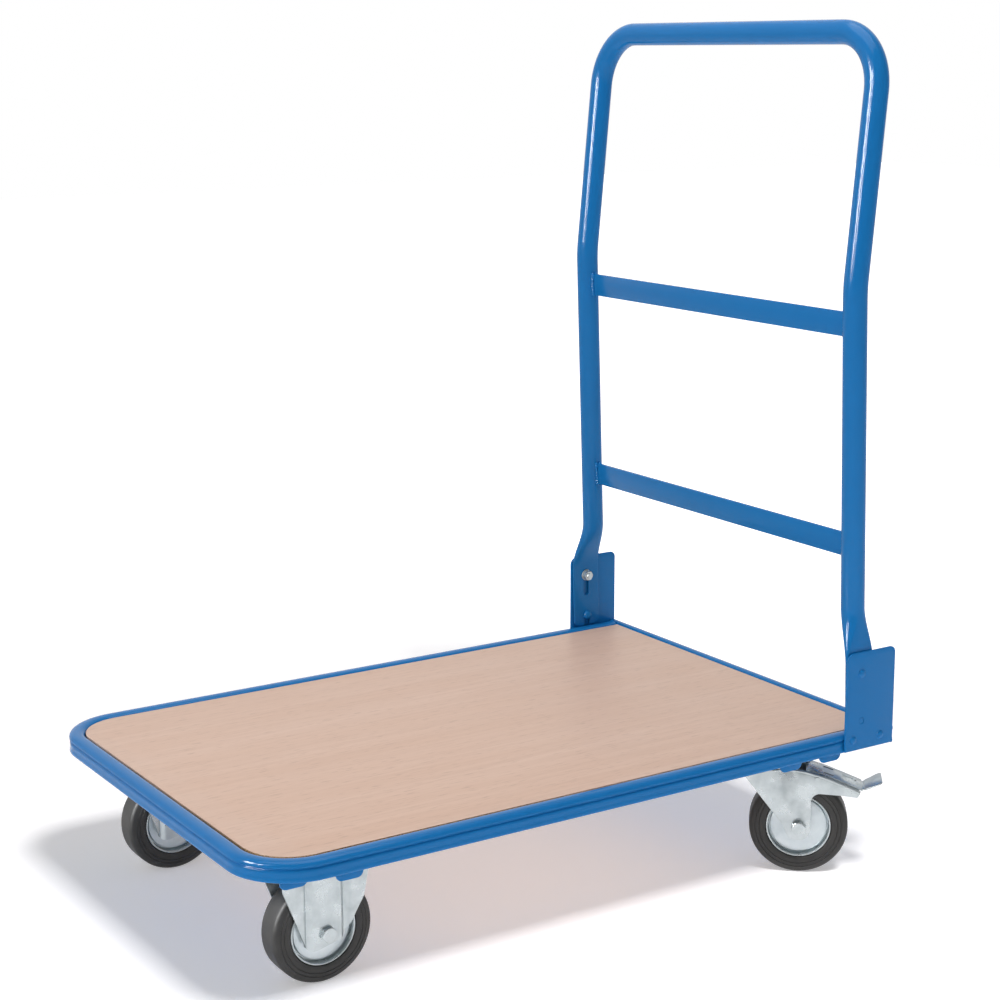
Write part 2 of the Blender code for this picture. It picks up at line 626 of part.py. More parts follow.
def swivel_leg_outline():
    """Leg with the axle boss, the raked front edge, and the arm that carries the brake."""
    return rounded([(-0.031, CROWN_TOP - FORK_SHEET - 0.004, 0.003), (-0.029, 0.128, 0.004),
                    (TRAIL - 0.020, 0.066, 0.010), (TRAIL - 0.013, 0.046, 0.010),
                    (TRAIL + 0.015, 0.046, 0.012), (TRAIL + 0.015, 0.109, 0.007),
                    (TRAIL + 0.052, 0.1075, 0.003), (TRAIL + 0.073, 0.105, 0.002),
                    (TRAIL + 0.077, 0.1125, 0.002), (TRAIL + 0.040, 0.128, 0.020),
                    (TRAIL + 0.019, 0.1345, 0.020), (TRAIL - 0.012, CROWN_TOP - 0.0010, 0.006),
                    (-0.024, CROWN_TOP - 0.0010, 0.003)], 3)


def make_swivel_fork(name, material, parent):
    crown = rod(RACE_OUTER, CROWN_TOP - FORK_SHEET, CROWN_TOP, "Z", segments=24)
    neck = block((-0.010, -FORK_INNER - FORK_SHEET, CROWN_TOP - FORK_SHEET),
                 (TRAIL - 0.013, FORK_INNER + FORK_SHEET, CROWN_TOP - 0.0005))
    bm = union(crown, neck, *both_legs(swivel_leg_outline(), TRAIL))
    bm = cut(bm, rod(KING_PIN_RADIUS + GAP, CROWN_TOP - 0.010, CROWN_TOP + 0.010, "Z"))
    for side in (LEFT, RIGHT):
        low, high = sorted((side * (FORK_INNER - 0.001), side * (FORK_INNER + FORK_SHEET + 0.001)))
        bm = cut(bm, rod(BRAKE_PIN_RADIUS + GAP, low, high, "Y", BRAKE_PIN, segments=12))
    return place(name, bm, material, parent)


def make_swivel_plate(name, material, parent):
    """Top plate with the upper race pressed into it."""
    plate = block((-PLATE_LENGTH / 2, -PLATE_WIDTH / 2, CASTER_TOP - FORK_SHEET),
                  (PLATE_LENGTH / 2, PLATE_WIDTH / 2, CASTER_TOP))
    race = turned([(0, CASTER_TOP - 0.001), (0, UPPER_RACE_BOTTOM), (0.028, UPPER_RACE_BOTTOM),
                   (RACE_OUTER, UPPER_RACE_BOTTOM + 0.0032), (RACE_OUTER, CASTER_TOP - 0.001)], 24, "Z")
    bore = rod(KING_PIN_RADIUS + GAP, 0.140, CASTER_TOP + 0.001, "Z")
    return place(name, cut(union(plate, race), bore), material, parent)


def make_ball_race(name, material, parent):
    low, high = CROWN_TOP + GAP, UPPER_RACE_BOTTOM - GAP
    profile = [(0.0230, low), (0.0295, low), (0.0310, (low + high) / 2), (0.0295, high),
               (0.0230, high)]
    return place(name, turned(profile, 16, "Z"), material, parent)


def make_king_pin(name, material, parent):
    head_top = CROWN_TOP - FORK_SHEET - GAP
    profile = [(0, CASTER_TOP), (KING_PIN_RADIUS, CASTER_TOP), (KING_PIN_RADIUS, head_top),
               (0.010, head_top), (0.009, head_top - 0.0035), (0, head_top - 0.0035)]
    return place(name, turned(profile, 16, "Z"), material, parent)


# ---- brakes ---------------------------------------------------------------------------------
BRAKE_PIN = (TRAIL + 0.022, 0.1285)
BRAKE_PIN_RADIUS = 0.0025
PEDAL_HALF_WIDTH = 0.0200
PEDAL_SHEET = 0.0022


def pedal_outline():
    """Side view of the pedal sheet, from its hump over the pin to the thumb tab, in wheel terms."""
    top = [(TRAIL + 0.008, 0.1345), (TRAIL + 0.016, 0.1375), (TRAIL + 0.045, 0.1285),
           (TRAIL + 0.078, 0.1150), (TRAIL + 0.082, 0.1150), (TRAIL + 0.103, 0.1260)]
    under = [(x, z - PEDAL_SHEET) for x, z in reversed(top)]
    return top + under


def make_brake_pedal(name, material, parent):
    """Channel-shaped foot pedal with a window and an upturned tab; its origin is on the pin."""
    wide = PEDAL_HALF_WIDTH
    bm = prism(pedal_outline(), -wide, wide, "Y")
    for side in (LEFT, RIGHT):
        low, high = sorted((side * (wide - PEDAL_SHEET), side * wide))
        cheek = [(TRAIL + 0.012, 0.1352), (TRAIL + 0.045, 0.1272), (TRAIL + 0.074, 0.1155),
                 (TRAIL + 0.070, 0.1100), (TRAIL + 0.040, 0.1185), (TRAIL + 0.022, 0.1245),
                 (TRAIL + 0.012, 0.1270)]
        bm = union(bm, prism(cheek, low, high, "Y"))
        bm = cut(bm, rod(BRAKE_PIN_RADIUS + GAP, low - 0.001, high + 0.001, "Y", BRAKE_PIN, segments=12))
    window = block((TRAIL + 0.052, -0.009, 0.110), (TRAIL + 0.070, 0.009, 0.135))
    bm = cut(bm, window)
    bmesh.ops.translate(bm, verts=bm.verts, vec=(-BRAKE_PIN[0], 0, -BRAKE_PIN[1]))
    return place(name, bm, material, parent)


def make_brake_shoe(name, material, parent):
    """Rubbing block under the pedal, hollowed to the tyre's radius."""
    radius = WHEEL_RADIUS + 0.0034
    foot = arc((TRAIL, WHEEL_RADIUS), radius, 57, 45, 3)
    top = [(TRAIL + 0.0465, 0.1250), (TRAIL + 0.0360, 0.1282)]
    bm = prism(foot + top, -0.012, 0.012, "Y")
    bmesh.ops.translate(bm, verts=bm.verts, vec=(-BRAKE_PIN[0], 0, -BRAKE_PIN[1]))
    return place(name, bm, material, parent)


def make_brake_pin(name, material, parent):
    reach = FORK_INNER + FORK_SHEET + 0.0012
    bm = rod(BRAKE_PIN_RADIUS, -reach, reach, "Y", BRAKE_PIN, segments=12)
    return place(name, bm, material, parent)


# ---- assembly -------------------------------------------------------------------------------
def build_platform(materials):
    make_perimeter_frame(materials["blue"])
    make_rear_rail(materials["blue"])
    make_deck_board(materials["wood"])
    make_cross_member("front_cross_member", FIXED_X, FRONT_TABS, materials["blue"])
    make_cross_member("rear_cross_member", SWIVEL_X + 0.012, REAR_TABS, materials["blue"])


def build_handle(materials):
    axis = pivot_empty("handle_fold_axis", (PIVOT_X, 0, PIVOT_Z))
    for word, side in SIDES.items():
        make_bracket("handle_bracket_" + word, side, materials["blue"])
        for prefix, rivet_x in RIVET_XS.items():
            make_rivet(prefix + word, side, rivet_x, materials["blue"])
        make_lock_pin("lock_pin_" + word, side, materials["blue"])
        make_pivot_bolt("pivot_bolt_" + word, side, materials["zinc"], axis)
        make_pivot_washer("pivot_washer_" + word, side, materials["zinc"], axis)
        make_pivot_nut("pivot_nut_" + word, side, materials["zinc"], axis)
    make_handle_tube(materials["blue"], axis)
    for name, height in BAR_HEIGHTS.items():
        make_cross_bar(name, height, materials["blue"], axis)


def build_fixed_caster(word, side, materials):
    mount = pivot_empty("front_caster_" + word, (FIXED_X, side * FIXED_Y, 0))
    make_fixed_fork("front_fork_" + word, materials["zinc"], mount)
    make_axle("front_" + word, 0, materials, mount)
    make_wheel("front_" + word, materials, mount)


def build_swivel_caster(word, side, materials):
    mount = pivot_empty("rear_caster_" + word, (SWIVEL_X, side * SWIVEL_Y, 0))
    make_swivel_plate("swivel_plate_" + word, materials["zinc"], mount)
    make_king_pin("king_pin_" + word, materials["zinc"], mount)
    swivel = pivot_empty("swivel_axis_" + word, (0, 0, 0), mount, side * SWIVEL_TURN)
    make_ball_race("ball_race_" + word, materials["zinc"], swivel)
    make_swivel_fork("swivel_fork_" + word, materials["zinc"], swivel)
    make_axle("rear_" + word, TRAIL, materials, swivel)
    make_wheel("rear_" + word, materials, swivel)
    make_brake_pin("brake_pin_" + word, materials["zinc"], swivel)
    pedal_axis = pivot_empty("pedal_axis_" + word, (BRAKE_PIN[0], 0, BRAKE_PIN[1]), swivel)
    make_brake_pedal("brake_pedal_" + word, materials["zinc"], pedal_axis)
    make_brake_shoe("brake_shoe_" + word, materials["nylon"], pedal_axis)


def main():
    clear_scene()
    materials = make_materials()
    build_platform(materials)
    build_handle(materials)
    for word, side in SIDES.items():
        build_fixed_caster(word, side, materials)
        build_swivel_caster(word, side, materials)


main()
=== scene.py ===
# %% [markdown]
# # A platform trolley, from its frame to its finish
# The engineering model already fixes every size, joint and mass of this trolley. This notebook
# gives it its looks. It loads that model as a frame, stands a camera and soft studio lights round
# it, mixes five finishes, and then makes each visible piece again in fine mesh, in the same place.

# %% Load the frame
import json
import math
import random

import bmesh
import bpy
from mathutils import Matrix, Vector


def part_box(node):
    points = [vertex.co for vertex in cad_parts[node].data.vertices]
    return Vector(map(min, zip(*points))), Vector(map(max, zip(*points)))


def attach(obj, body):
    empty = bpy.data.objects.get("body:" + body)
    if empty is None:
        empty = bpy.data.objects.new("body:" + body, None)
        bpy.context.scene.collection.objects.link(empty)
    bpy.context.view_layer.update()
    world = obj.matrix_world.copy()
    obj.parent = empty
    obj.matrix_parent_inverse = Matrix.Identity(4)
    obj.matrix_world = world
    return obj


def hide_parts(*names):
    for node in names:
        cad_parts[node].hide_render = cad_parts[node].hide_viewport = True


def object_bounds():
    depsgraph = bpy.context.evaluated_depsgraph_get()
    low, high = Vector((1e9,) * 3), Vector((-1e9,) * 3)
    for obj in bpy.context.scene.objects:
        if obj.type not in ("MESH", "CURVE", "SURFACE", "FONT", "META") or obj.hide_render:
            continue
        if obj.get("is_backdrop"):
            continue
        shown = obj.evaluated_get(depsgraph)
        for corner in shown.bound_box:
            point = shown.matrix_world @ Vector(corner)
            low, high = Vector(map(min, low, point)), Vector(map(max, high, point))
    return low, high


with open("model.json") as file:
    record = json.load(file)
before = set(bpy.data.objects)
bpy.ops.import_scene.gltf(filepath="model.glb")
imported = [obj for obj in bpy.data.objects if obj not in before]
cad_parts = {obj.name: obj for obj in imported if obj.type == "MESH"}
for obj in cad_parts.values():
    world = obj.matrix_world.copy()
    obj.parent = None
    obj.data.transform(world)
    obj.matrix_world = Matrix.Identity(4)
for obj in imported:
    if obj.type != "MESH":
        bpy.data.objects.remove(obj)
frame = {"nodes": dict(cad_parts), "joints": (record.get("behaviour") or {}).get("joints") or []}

cad_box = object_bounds()
joints = {joint["name"]: joint for joint in frame["joints"]}
LEFT, RIGHT = -1, 1
SIDES = {"left": LEFT, "right": RIGHT}

# %% [markdown]
# ## Camera
# A long lens a little above the deck keeps the platform's edges nearly parallel, as in a
# catalogue. The camera is placed by three turns: about Z for the heading, about X for the dip,
# and a trace of roll. A "track to" constraint would be easier to write, but it can't hold a roll.

# %% Camera
EYE = Vector((-1.3394, -2.1490, 1.0311))
HEADING = math.radians(-32.82)
DIP = math.radians(-12.32)
ROLL = math.radians(-0.2)

camera_data = bpy.data.cameras.new("studio_camera")
camera_data.lens = 74.52
camera = bpy.data.objects.new("studio_camera", camera_data)
bpy.context.scene.collection.objects.link(camera)
camera.matrix_world = (Matrix.Translation(EYE) @ Matrix.Rotation(HEADING, 4, "Z")
                       @ Matrix.Rotation(math.pi / 2 + DIP, 4, "X") @ Matrix.Rotation(ROLL, 4, "Z"))
bpy.context.scene.camera = camera
print("camera looks along", camera.matrix_world.to_quaternion() @ Vector((0, 0, -1)))

# %% [markdown]
# ## Floor and light
# White sweeps are lit until they clip, so the trolley seems to stand on nothing but its own
# shadow. The floor glows a little, which stands in for the many bounces of a white studio and
# keeps the shadow under the deck pale. It has a lamp of its own, so the shadow can be shaped
# without changing the light on the trolley: broad boxes model the shapes, and two strips that
# only gloss can see draw the bright streaks on the tubes.

# %% Floor and world
view = bpy.context.scene.view_settings
view.view_transform = "Standard"

BACKDROP, FILL = 1.0, 0.30                     # what the eye and matt surfaces see of the studio
MIRROR_NEAR, MIRROR_FAR = 0.20, 0.95           # what gloss sees of its near and far halves

world = bpy.data.worlds.new("white_studio")
world.use_nodes = True
sky = world.node_tree
ray = sky.nodes.new("ShaderNodeLightPath")
gloss = sky.nodes.new("ShaderNodeMix")
seen = sky.nodes.new("ShaderNodeMix")
for mix, chooser, off, on in ((gloss, "Is Glossy Ray", FILL, MIRROR_FAR),
                              (seen, "Is Camera Ray", 0, BACKDROP)):
    sky.links.new(ray.outputs[chooser], mix.inputs[0])
    mix.inputs[2].default_value = off
    mix.inputs[3].default_value = on
heading = sky.nodes.new("ShaderNodeSeparateXYZ")
sky.links.new(sky.nodes.new("ShaderNodeTexCoord").outputs["Generated"], heading.inputs[0])
halves = sky.nodes.new("ShaderNodeMapRange")
for socket, value in zip(halves.inputs[1:5], (-0.4, 0.4, MIRROR_NEAR, MIRROR_FAR)):
    socket.default_value = value
sky.links.new(heading.outputs["Y"], halves.inputs["Value"])
sky.links.new(halves.outputs["Result"], gloss.inputs[3])
sky.links.new(gloss.outputs[0], seen.inputs[2])
sky.links.new(seen.outputs[0], sky.nodes["Background"].inputs["Strength"])
sky.nodes["Background"].inputs["Color"].default_value = (1.0, 1.0, 1.0, 1.0)
bpy.context.scene.world = world

floor_bm = bmesh.new()
bmesh.ops.create_grid(floor_bm, x_segments=1, y_segments=1, size=12)
floor_mesh = bpy.data.meshes.new("studio_floor")
floor_bm.to_mesh(floor_mesh)
floor_bm.free()
floor = bpy.data.objects.new("studio_floor", floor_mesh)
bpy.context.scene.collection.objects.link(floor)
floor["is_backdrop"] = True

floor_finish = bpy.data.materials.new("studio_white")
floor_finish.use_nodes = True
floor_shader = floor_finish.node_tree.nodes["Principled BSDF"]
floor_shader.inputs["Base Color"].default_value = (0.80, 0.785, 0.79, 1.0)
floor_shader.inputs["Roughness"].default_value = 1.0
floor_shader.inputs["Specular IOR Level"].default_value = 0.0
floor_shader.inputs["Emission Color"].default_value = (0.985, 0.985, 1.0, 1.0)
FLOOR_GLOW, SWEEP_GLOW = 0.36, 0.80            # under the trolley, and what the far sweep adds
floor_tree = floor_finish.node_tree
reach = floor_tree.nodes.new("ShaderNodeVectorMath")
reach.operation = "LENGTH"
floor_tree.links.new(floor_tree.nodes.new("ShaderNodeTexCoord").outputs["Object"], reach.inputs[0])
sweep = floor_tree.nodes.new("ShaderNodeMapRange")
sweep.interpolation_type = "SMOOTHSTEP"
for socket, value in zip(sweep.inputs[1:5], (0.85, 1.5, 0.0, SWEEP_GLOW)):
    socket.default_value = value
floor_tree.links.new(reach.outputs["Value"], sweep.inputs["Value"])
glow = floor_tree.nodes.new("ShaderNodeMath")
glow.operation = "MULTIPLY_ADD"
glow.inputs[2].default_value = FLOOR_GLOW
floor_tree.links.new(sweep.outputs["Result"], glow.inputs[0])
floor_tree.links.new(floor_tree.nodes.new("ShaderNodeLightPath").outputs["Is Camera Ray"], glow.inputs[1])
floor_tree.links.new(glow.outputs[0], floor_shader.inputs["Emission Strength"])
floor_mesh.materials.append(floor_finish)


# %% Lights
def softbox(name, spot, aim, width, height, power, shape="RECTANGLE"):
    """An area light at `spot` that faces `aim`."""
    data = bpy.data.lights.new(name, "AREA")
    data.shape = shape
    data.size = width
    data.size_y = height
    data.energy = power
    lamp = bpy.data.objects.new(name, data)
    bpy.context.scene.collection.objects.link(lamp)
    facing = (Vector(aim) - Vector(spot)).to_track_quat("-Z", "Y")
    lamp.matrix_world = Matrix.Translation(spot) @ facing.to_matrix().to_4x4()
    return lamp


def floor_link(lamp, state):
    """Let a lamp light only the floor ("INCLUDE"), or everything but the floor ("EXCLUDE")."""
    receivers = bpy.data.collections.new(lamp.name + "_receivers")
    receivers.objects.link(floor)
    receivers.collection_objects[0].light_linking.link_state = state
    lamp.light_linking.receiver_collection = receivers


floor_link(softbox("front_box", (-3.2, -0.6, 2.4), (0.0, 0.0, 0.3), 2.2, 1.6, 42), "EXCLUDE")
floor_link(softbox("top_box", (0.0, 0.0, 3.4), (0.0, 0.0, 0.2), 2.6, 2.6, 56), "EXCLUDE")
floor_link(softbox("floor_box", (0.0, -1.6, 3.3), (0.0, 0.0, 0.0), 0.8, 0.8, 115), "INCLUDE")
for streak in (softbox("strip_far_left", (-3.3, 0.35, 1.75), (0.4, 0.0, 0.85), 0.9, 1.5, 290),
               softbox("strip_left", (-3.1, -0.75, 1.75), (0.4, 0.0, 0.85), 0.35, 1.5, 125)):
    streak.visible_diffuse = False

# %% [markdown]
# ## Finishes
# Five finishes cover the trolley: blue powder coat, wood-decor board, bright zinc, black rubber
# and grey nylon. Effects that several of them share are node groups with named inputs, built
# once. A group hands over only colours and values that vary over the surface, and the shader
# stays in each material.

# %% Node helpers
def group_of(name, inputs, outputs):
    """An empty shader group with float inputs, and colour or float outputs."""
    tree = bpy.data.node_groups.new(name, "ShaderNodeTree")
    for label, value in inputs.items():
        kind = "NodeSocketColor" if isinstance(value, tuple) else "NodeSocketFloat"
        tree.interface.new_socket(label, in_out="INPUT", socket_type=kind).default_value = value
    for label, kind in outputs.items():
        tree.interface.new_socket(label, in_out="OUTPUT", socket_type=kind)
    return tree, tree.nodes.new("NodeGroupInput"), tree.nodes.new("NodeGroupOutput")


def add(tree, kind, settings=None, **inputs):
    """A node with some settings, its named inputs set to values or linked from sockets."""
    node = tree.nodes.new(kind)
    for label, value in (settings or {}).items():
        setattr(node, label, value)
    for label, value in inputs.items():
        socket = node.inputs[int(label[1:])] if label[0] == "_" else node.inputs[label]
        if isinstance(value, bpy.types.NodeSocket):
            tree.links.new(value, socket)
        else:
            socket.default_value = value
    return node


def noise_at(tree, vector, scale, detail=3.0, roughness=0.5):
    """A noise texture's value at some scale, in features to the metre."""
    return add(tree, "ShaderNodeTexNoise", Vector=vector, Scale=scale, Detail=detail,
               Roughness=roughness).outputs["Fac"]


def spread(tree, value, low, high, to_low, to_high):
    """Stretch a value from one range to another, clamped."""
    return add(tree, "ShaderNodeMapRange", None, Value=value, _1=low, _2=high, _3=to_low,
               _4=to_high).outputs["Result"]


def blend_colours(tree, factor, first, second):
    """Mix two colours by a factor."""
    node = add(tree, "ShaderNodeMix", {"data_type": "RGBA"})
    for socket, value in ((node.inputs[0], factor), (node.inputs[6], first), (node.inputs[7], second)):
        if isinstance(value, bpy.types.NodeSocket):
            tree.links.new(value, socket)
        else:
            socket.default_value = value
    return node.outputs[2]


# %% [markdown]
# ### Two shared effects
# "Coat texture" is the orange peel of a sprayed or powdered coat: two noises of a few
# millimetres, as height, and a slow drift of colour. "Dust and handling" is the faint unevenness
# that any handled surface has, as a roughness value. The alternative, painting them as images,
# would tie them to one mesh.

# %% Shared effects
coat_group, coat_in, coat_out = group_of(
    "coat_texture", {"Peel": 0.4, "Drift": 0.3, "Colour": (0.0, 0.1, 0.4, 1.0),
                     "Second colour": (0.0, 0.12, 0.45, 1.0)},
    {"Colour": "NodeSocketColor", "Height": "NodeSocketFloat"})
place = add(coat_group, "ShaderNodeTexCoord").outputs["Object"]
fine_peel = noise_at(coat_group, place, 420.0, 2.0)
broad_peel = noise_at(coat_group, place, 130.0, 2.0)
peel_sum = add(coat_group, "ShaderNodeMath", {"operation": "ADD"}, _0=fine_peel, _1=broad_peel)
peel = add(coat_group, "ShaderNodeMath", {"operation": "MULTIPLY"}, _0=peel_sum.outputs[0],
           _1=coat_in.outputs["Peel"])
drift = spread(coat_group, noise_at(coat_group, place, 7.0, 4.0), 0.35, 0.65, 0.0, 1.0)
drift = add(coat_group, "ShaderNodeMath", {"operation": "MULTIPLY"}, _0=drift,
            _1=coat_in.outputs["Drift"])
coat_colour = blend_colours(coat_group, drift.outputs[0], coat_in.outputs["Colour"],
                            coat_in.outputs["Second colour"])
coat_group.links.new(coat_colour, coat_out.inputs["Colour"])
coat_group.links.new(peel.outputs[0], coat_out.inputs["Height"])

dust_group, dust_in, dust_out = group_of(
    "dust_and_handling", {"Scale": 30.0, "Smoothest": 0.25, "Dullest": 0.40},
    {"Roughness": "NodeSocketFloat", "Mask": "NodeSocketFloat"})
place = add(dust_group, "ShaderNodeTexCoord").outputs["Object"]
patches = noise_at(dust_group, place, dust_in.outputs["Scale"], 5.0, 0.6)
mask = spread(dust_group, patches, 0.35, 0.70, 0.0, 1.0)
dulled = spread(dust_group, mask, 0.0, 1.0, dust_in.outputs["Smoothest"], dust_in.outputs["Dullest"])
dust_group.links.new(dulled, dust_out.inputs["Roughness"])
dust_group.links.new(mask, dust_out.inputs["Mask"])
print("groups:", [g.name for g in bpy.data.node_groups])


# %% Material helpers
def new_material(name, metallic=0.0, coat=0.0, coat_roughness=0.1, specular=0.5):
    """A material with its shader, ready for patterns to be plugged in."""
    material = bpy.data.materials.new(name)
    material.use_nodes = True
    shader = material.node_tree.nodes["Principled BSDF"]
    shader.inputs["Metallic"].default_value = metallic
    shader.inputs["Coat Weight"].default_value = coat
    shader.inputs["Coat Roughness"].default_value = coat_roughness
    shader.inputs["Specular IOR Level"].default_value = specular
    return material, material.node_tree, shader


def use_group(tree, group, **inputs):
    """Place a shared effect in a material, with this finish's own values."""
    node = tree.nodes.new("ShaderNodeGroup")
    node.node_tree = group
    for label, value in inputs.items():
        node.inputs[label.replace("_", " ")].default_value = value
    return node


def bump(tree, shader, height, distance, strength=1.0):
    """Feed a height to the shader's normal."""
    node = add(tree, "ShaderNodeBump", Height=height, Distance=distance, Strength=strength)
    tree.links.new(node.outputs["Normal"], shader.inputs["Normal"])


# %% [markdown]
# ### Blue powder coat
# Powder coat melts to a thick, fairly glossy skin with a slight orange peel. The peel breaks the
# edges of the long highlights on the tubes, so it matters more than any change of colour.

# %% Blue powder coat
def make_blue():
    material, tree, shader = new_material("blue_powder_coat", specular=0.16)
    coat = use_group(tree, coat_group, Peel=1.0, Drift=0.4, Colour=(0.009, 0.172, 0.470, 1.0),
                     Second_colour=(0.012, 0.184, 0.492, 1.0))
    dust = use_group(tree, dust_group, Scale=18.0, Smoothest=0.11, Dullest=0.16)
    tree.links.new(coat.outputs["Colour"], shader.inputs["Base Color"])
    tree.links.new(dust.outputs["Roughness"], shader.inputs["Roughness"])
    bump(tree, shader, coat.outputs["Height"], 0.00008)
    return material


# %% [markdown]
# ### Bright zinc
# Thin electroplated zinc on pressed sheet looks cloudy: bright metal with soft patches where the
# bath and later handling dulled it. Patches drive both the colour and the roughness, and a very
# fine noise stands for the sheet's own grain.

# %% Zinc
def make_zinc(name, colour, patch_colour, smooth, dull, metallic=0.85):
    material, tree, shader = new_material(name, metallic=metallic)
    dust = use_group(tree, dust_group, Scale=45.0, Smoothest=smooth, Dullest=dull)
    place = add(tree, "ShaderNodeTexCoord").outputs["Object"]
    grain = noise_at(tree, place, 900.0, 2.0)
    tone = blend_colours(tree, dust.outputs["Mask"], colour, patch_colour)
    tree.links.new(tone, shader.inputs["Base Color"])
    tree.links.new(dust.outputs["Roughness"], shader.inputs["Roughness"])
    bump(tree, shader, grain, 0.00003)
    return material


# %% [markdown]
# ### Black rubber
# Moulded rubber is dark grey rather than black, matt, and slightly dusty where it rolls.

# %% Rubber and nylon
def make_rubber():
    material, tree, shader = new_material("black_tyre_rubber", specular=0.4)
    dust = use_group(tree, dust_group, Scale=60.0, Smoothest=0.42, Dullest=0.62)
    place = add(tree, "ShaderNodeTexCoord").outputs["Object"]
    tone = blend_colours(tree, dust.outputs["Mask"], (0.026, 0.026, 0.025, 1.0),
                         (0.042, 0.041, 0.039, 1.0))
    tree.links.new(tone, shader.inputs["Base Color"])
    tree.links.new(dust.outputs["Roughness"], shader.inputs["Roughness"])
    bump(tree, shader, noise_at(tree, place, 1400.0, 2.0), 0.00004)
    return material


def make_nylon():
    material, tree, shader = new_material("grey_bearing_nylon")
    dust = use_group(tree, dust_group, Scale=80.0, Smoothest=0.42, Dullest=0.58)
    tone = blend_colours(tree, dust.outputs["Mask"], (0.21, 0.21, 0.22, 1.0), (0.28, 0.28, 0.29, 1.0))
    tree.links.new(tone, shader.inputs["Base Color"])
    tree.links.new(dust.outputs["Roughness"], shader.inputs["Roughness"])
    return material


# %% [markdown]
# ### Wood-decor board
# The board is chipboard under a printed beech decor. Beech has a quiet grain: long faint bands
# and short darker flecks, both along the board. Two stretched noises make them. Where the rim
# attribute says so, at the sawn and chipped edge, the golden core of the chipboard shows.

# %% Board
def make_board_finish():
    material, tree, shader = new_material("beech_decor_board", specular=0.25)
    place = add(tree, "ShaderNodeTexCoord").outputs["Object"]
    bands_place = add(tree, "ShaderNodeMapping", Vector=place, Scale=(1.2, 26.0, 26.0))
    flecks_place = add(tree, "ShaderNodeMapping", Vector=place, Scale=(45.0, 420.0, 420.0))
    streaks_place = add(tree, "ShaderNodeMapping", Vector=place, Scale=(5.0, 150.0, 150.0))
    bands = spread(tree, noise_at(tree, bands_place.outputs[0], 1.0, 4.0), 0.30, 0.70, 0.0, 1.0)
    streaks = spread(tree, noise_at(tree, streaks_place.outputs[0], 1.0, 3.0), 0.35, 0.70, 0.0, 1.0)
    flecks = spread(tree, noise_at(tree, flecks_place.outputs[0], 1.0, 1.0), 0.60, 0.72, 0.0, 0.45)
    tone = blend_colours(tree, bands, (0.735, 0.530, 0.425, 1.0), (0.700, 0.488, 0.380, 1.0))
    tone = blend_colours(tree, spread(tree, streaks, 0.0, 1.0, 0.0, 0.55), tone,
                         (0.650, 0.442, 0.340, 1.0))
    tone = blend_colours(tree, flecks, tone, (0.490, 0.318, 0.240, 1.0))
    chips = spread(tree, noise_at(tree, place, 900.0, 3.0, 0.7), 0.40, 0.60, 0.0, 1.0)
    core = blend_colours(tree, chips, (0.105, 0.050, 0.018, 1.0), (0.560, 0.330, 0.130, 1.0))
    rim = add(tree, "ShaderNodeAttribute", {"attribute_name": "chipped"}).outputs["Fac"]
    tone = blend_colours(tree, rim, tone, core)
    tree.links.new(tone, shader.inputs["Base Color"])
    dust = use_group(tree, dust_group, Scale=9.0, Smoothest=0.38, Dullest=0.46)
    tree.links.new(dust.outputs["Roughness"], shader.inputs["Roughness"])
    bump(tree, shader, streaks, 0.00004)
    return material


blue = make_blue()
zinc = make_zinc("bright_zinc", (0.57, 0.62, 0.63, 1.0), (0.43, 0.48, 0.49, 1.0), 0.24, 0.40, 0.75)
disc_zinc = make_zinc("dull_zinc_disc", (0.64, 0.70, 0.72, 1.0), (0.55, 0.62, 0.65, 1.0), 0.30, 0.44, 0.60)
rubber = make_rubber()
nylon = make_nylon()
board_finish = make_board_finish()
print("finishes:", [m.name for m in bpy.data.materials if m.users])


# %% [markdown]
# ## Modelling helpers
# Most pieces are sheet, bar or turned metal, so a handful of makers is enough: a slab cut from an
# outline, a profile turned on a lathe, and a tube lofted through rings. Each one starts from a
# few vertices or a ring and lets bmesh operators do the rest.

# %% Outlines
def arc(centre, radius, start, end, steps):
    """Points on an arc, angles in degrees, both ends included."""
    return [(centre[0] + radius * math.cos(math.radians(start + (end - start) * i / steps)),
             centre[1] + radius * math.sin(math.radians(start + (end - start) * i / steps)))
            for i in range(steps + 1)]


def rounded(corners, steps=6):
    """A closed outline from (a, b, radius) corners; a radius of 0 keeps the corner sharp."""
    outline = []
    count = len(corners)
    for i, (a, b, radius) in enumerate(corners):
        here = Vector((a, b))
        if radius == 0:
            outline.append((a, b))
            continue
        before = (Vector(corners[i - 1][:2]) - here).normalized()
        after = (Vector(corners[(i + 1) % count][:2]) - here).normalized()
        half = before.angle(after) / 2
        centre = here + (before + after).normalized() * radius / math.sin(half)
        first = here + before * radius / math.tan(half) - centre
        last = here + after * radius / math.tan(half) - centre
        sweep = first.angle_signed(last)
        for step in range(steps + 1):
            point = centre + Matrix.Rotation(-sweep * step / steps, 2) @ first
            outline.append((point.x, point.y))
    return outline


def in_plane(axis, a, b, along):
    """A point whose two outline values fill the axes other than `axis`."""
    return {"X": (along, a, b), "Y": (a, along, b), "Z": (a, b, along)}[axis]


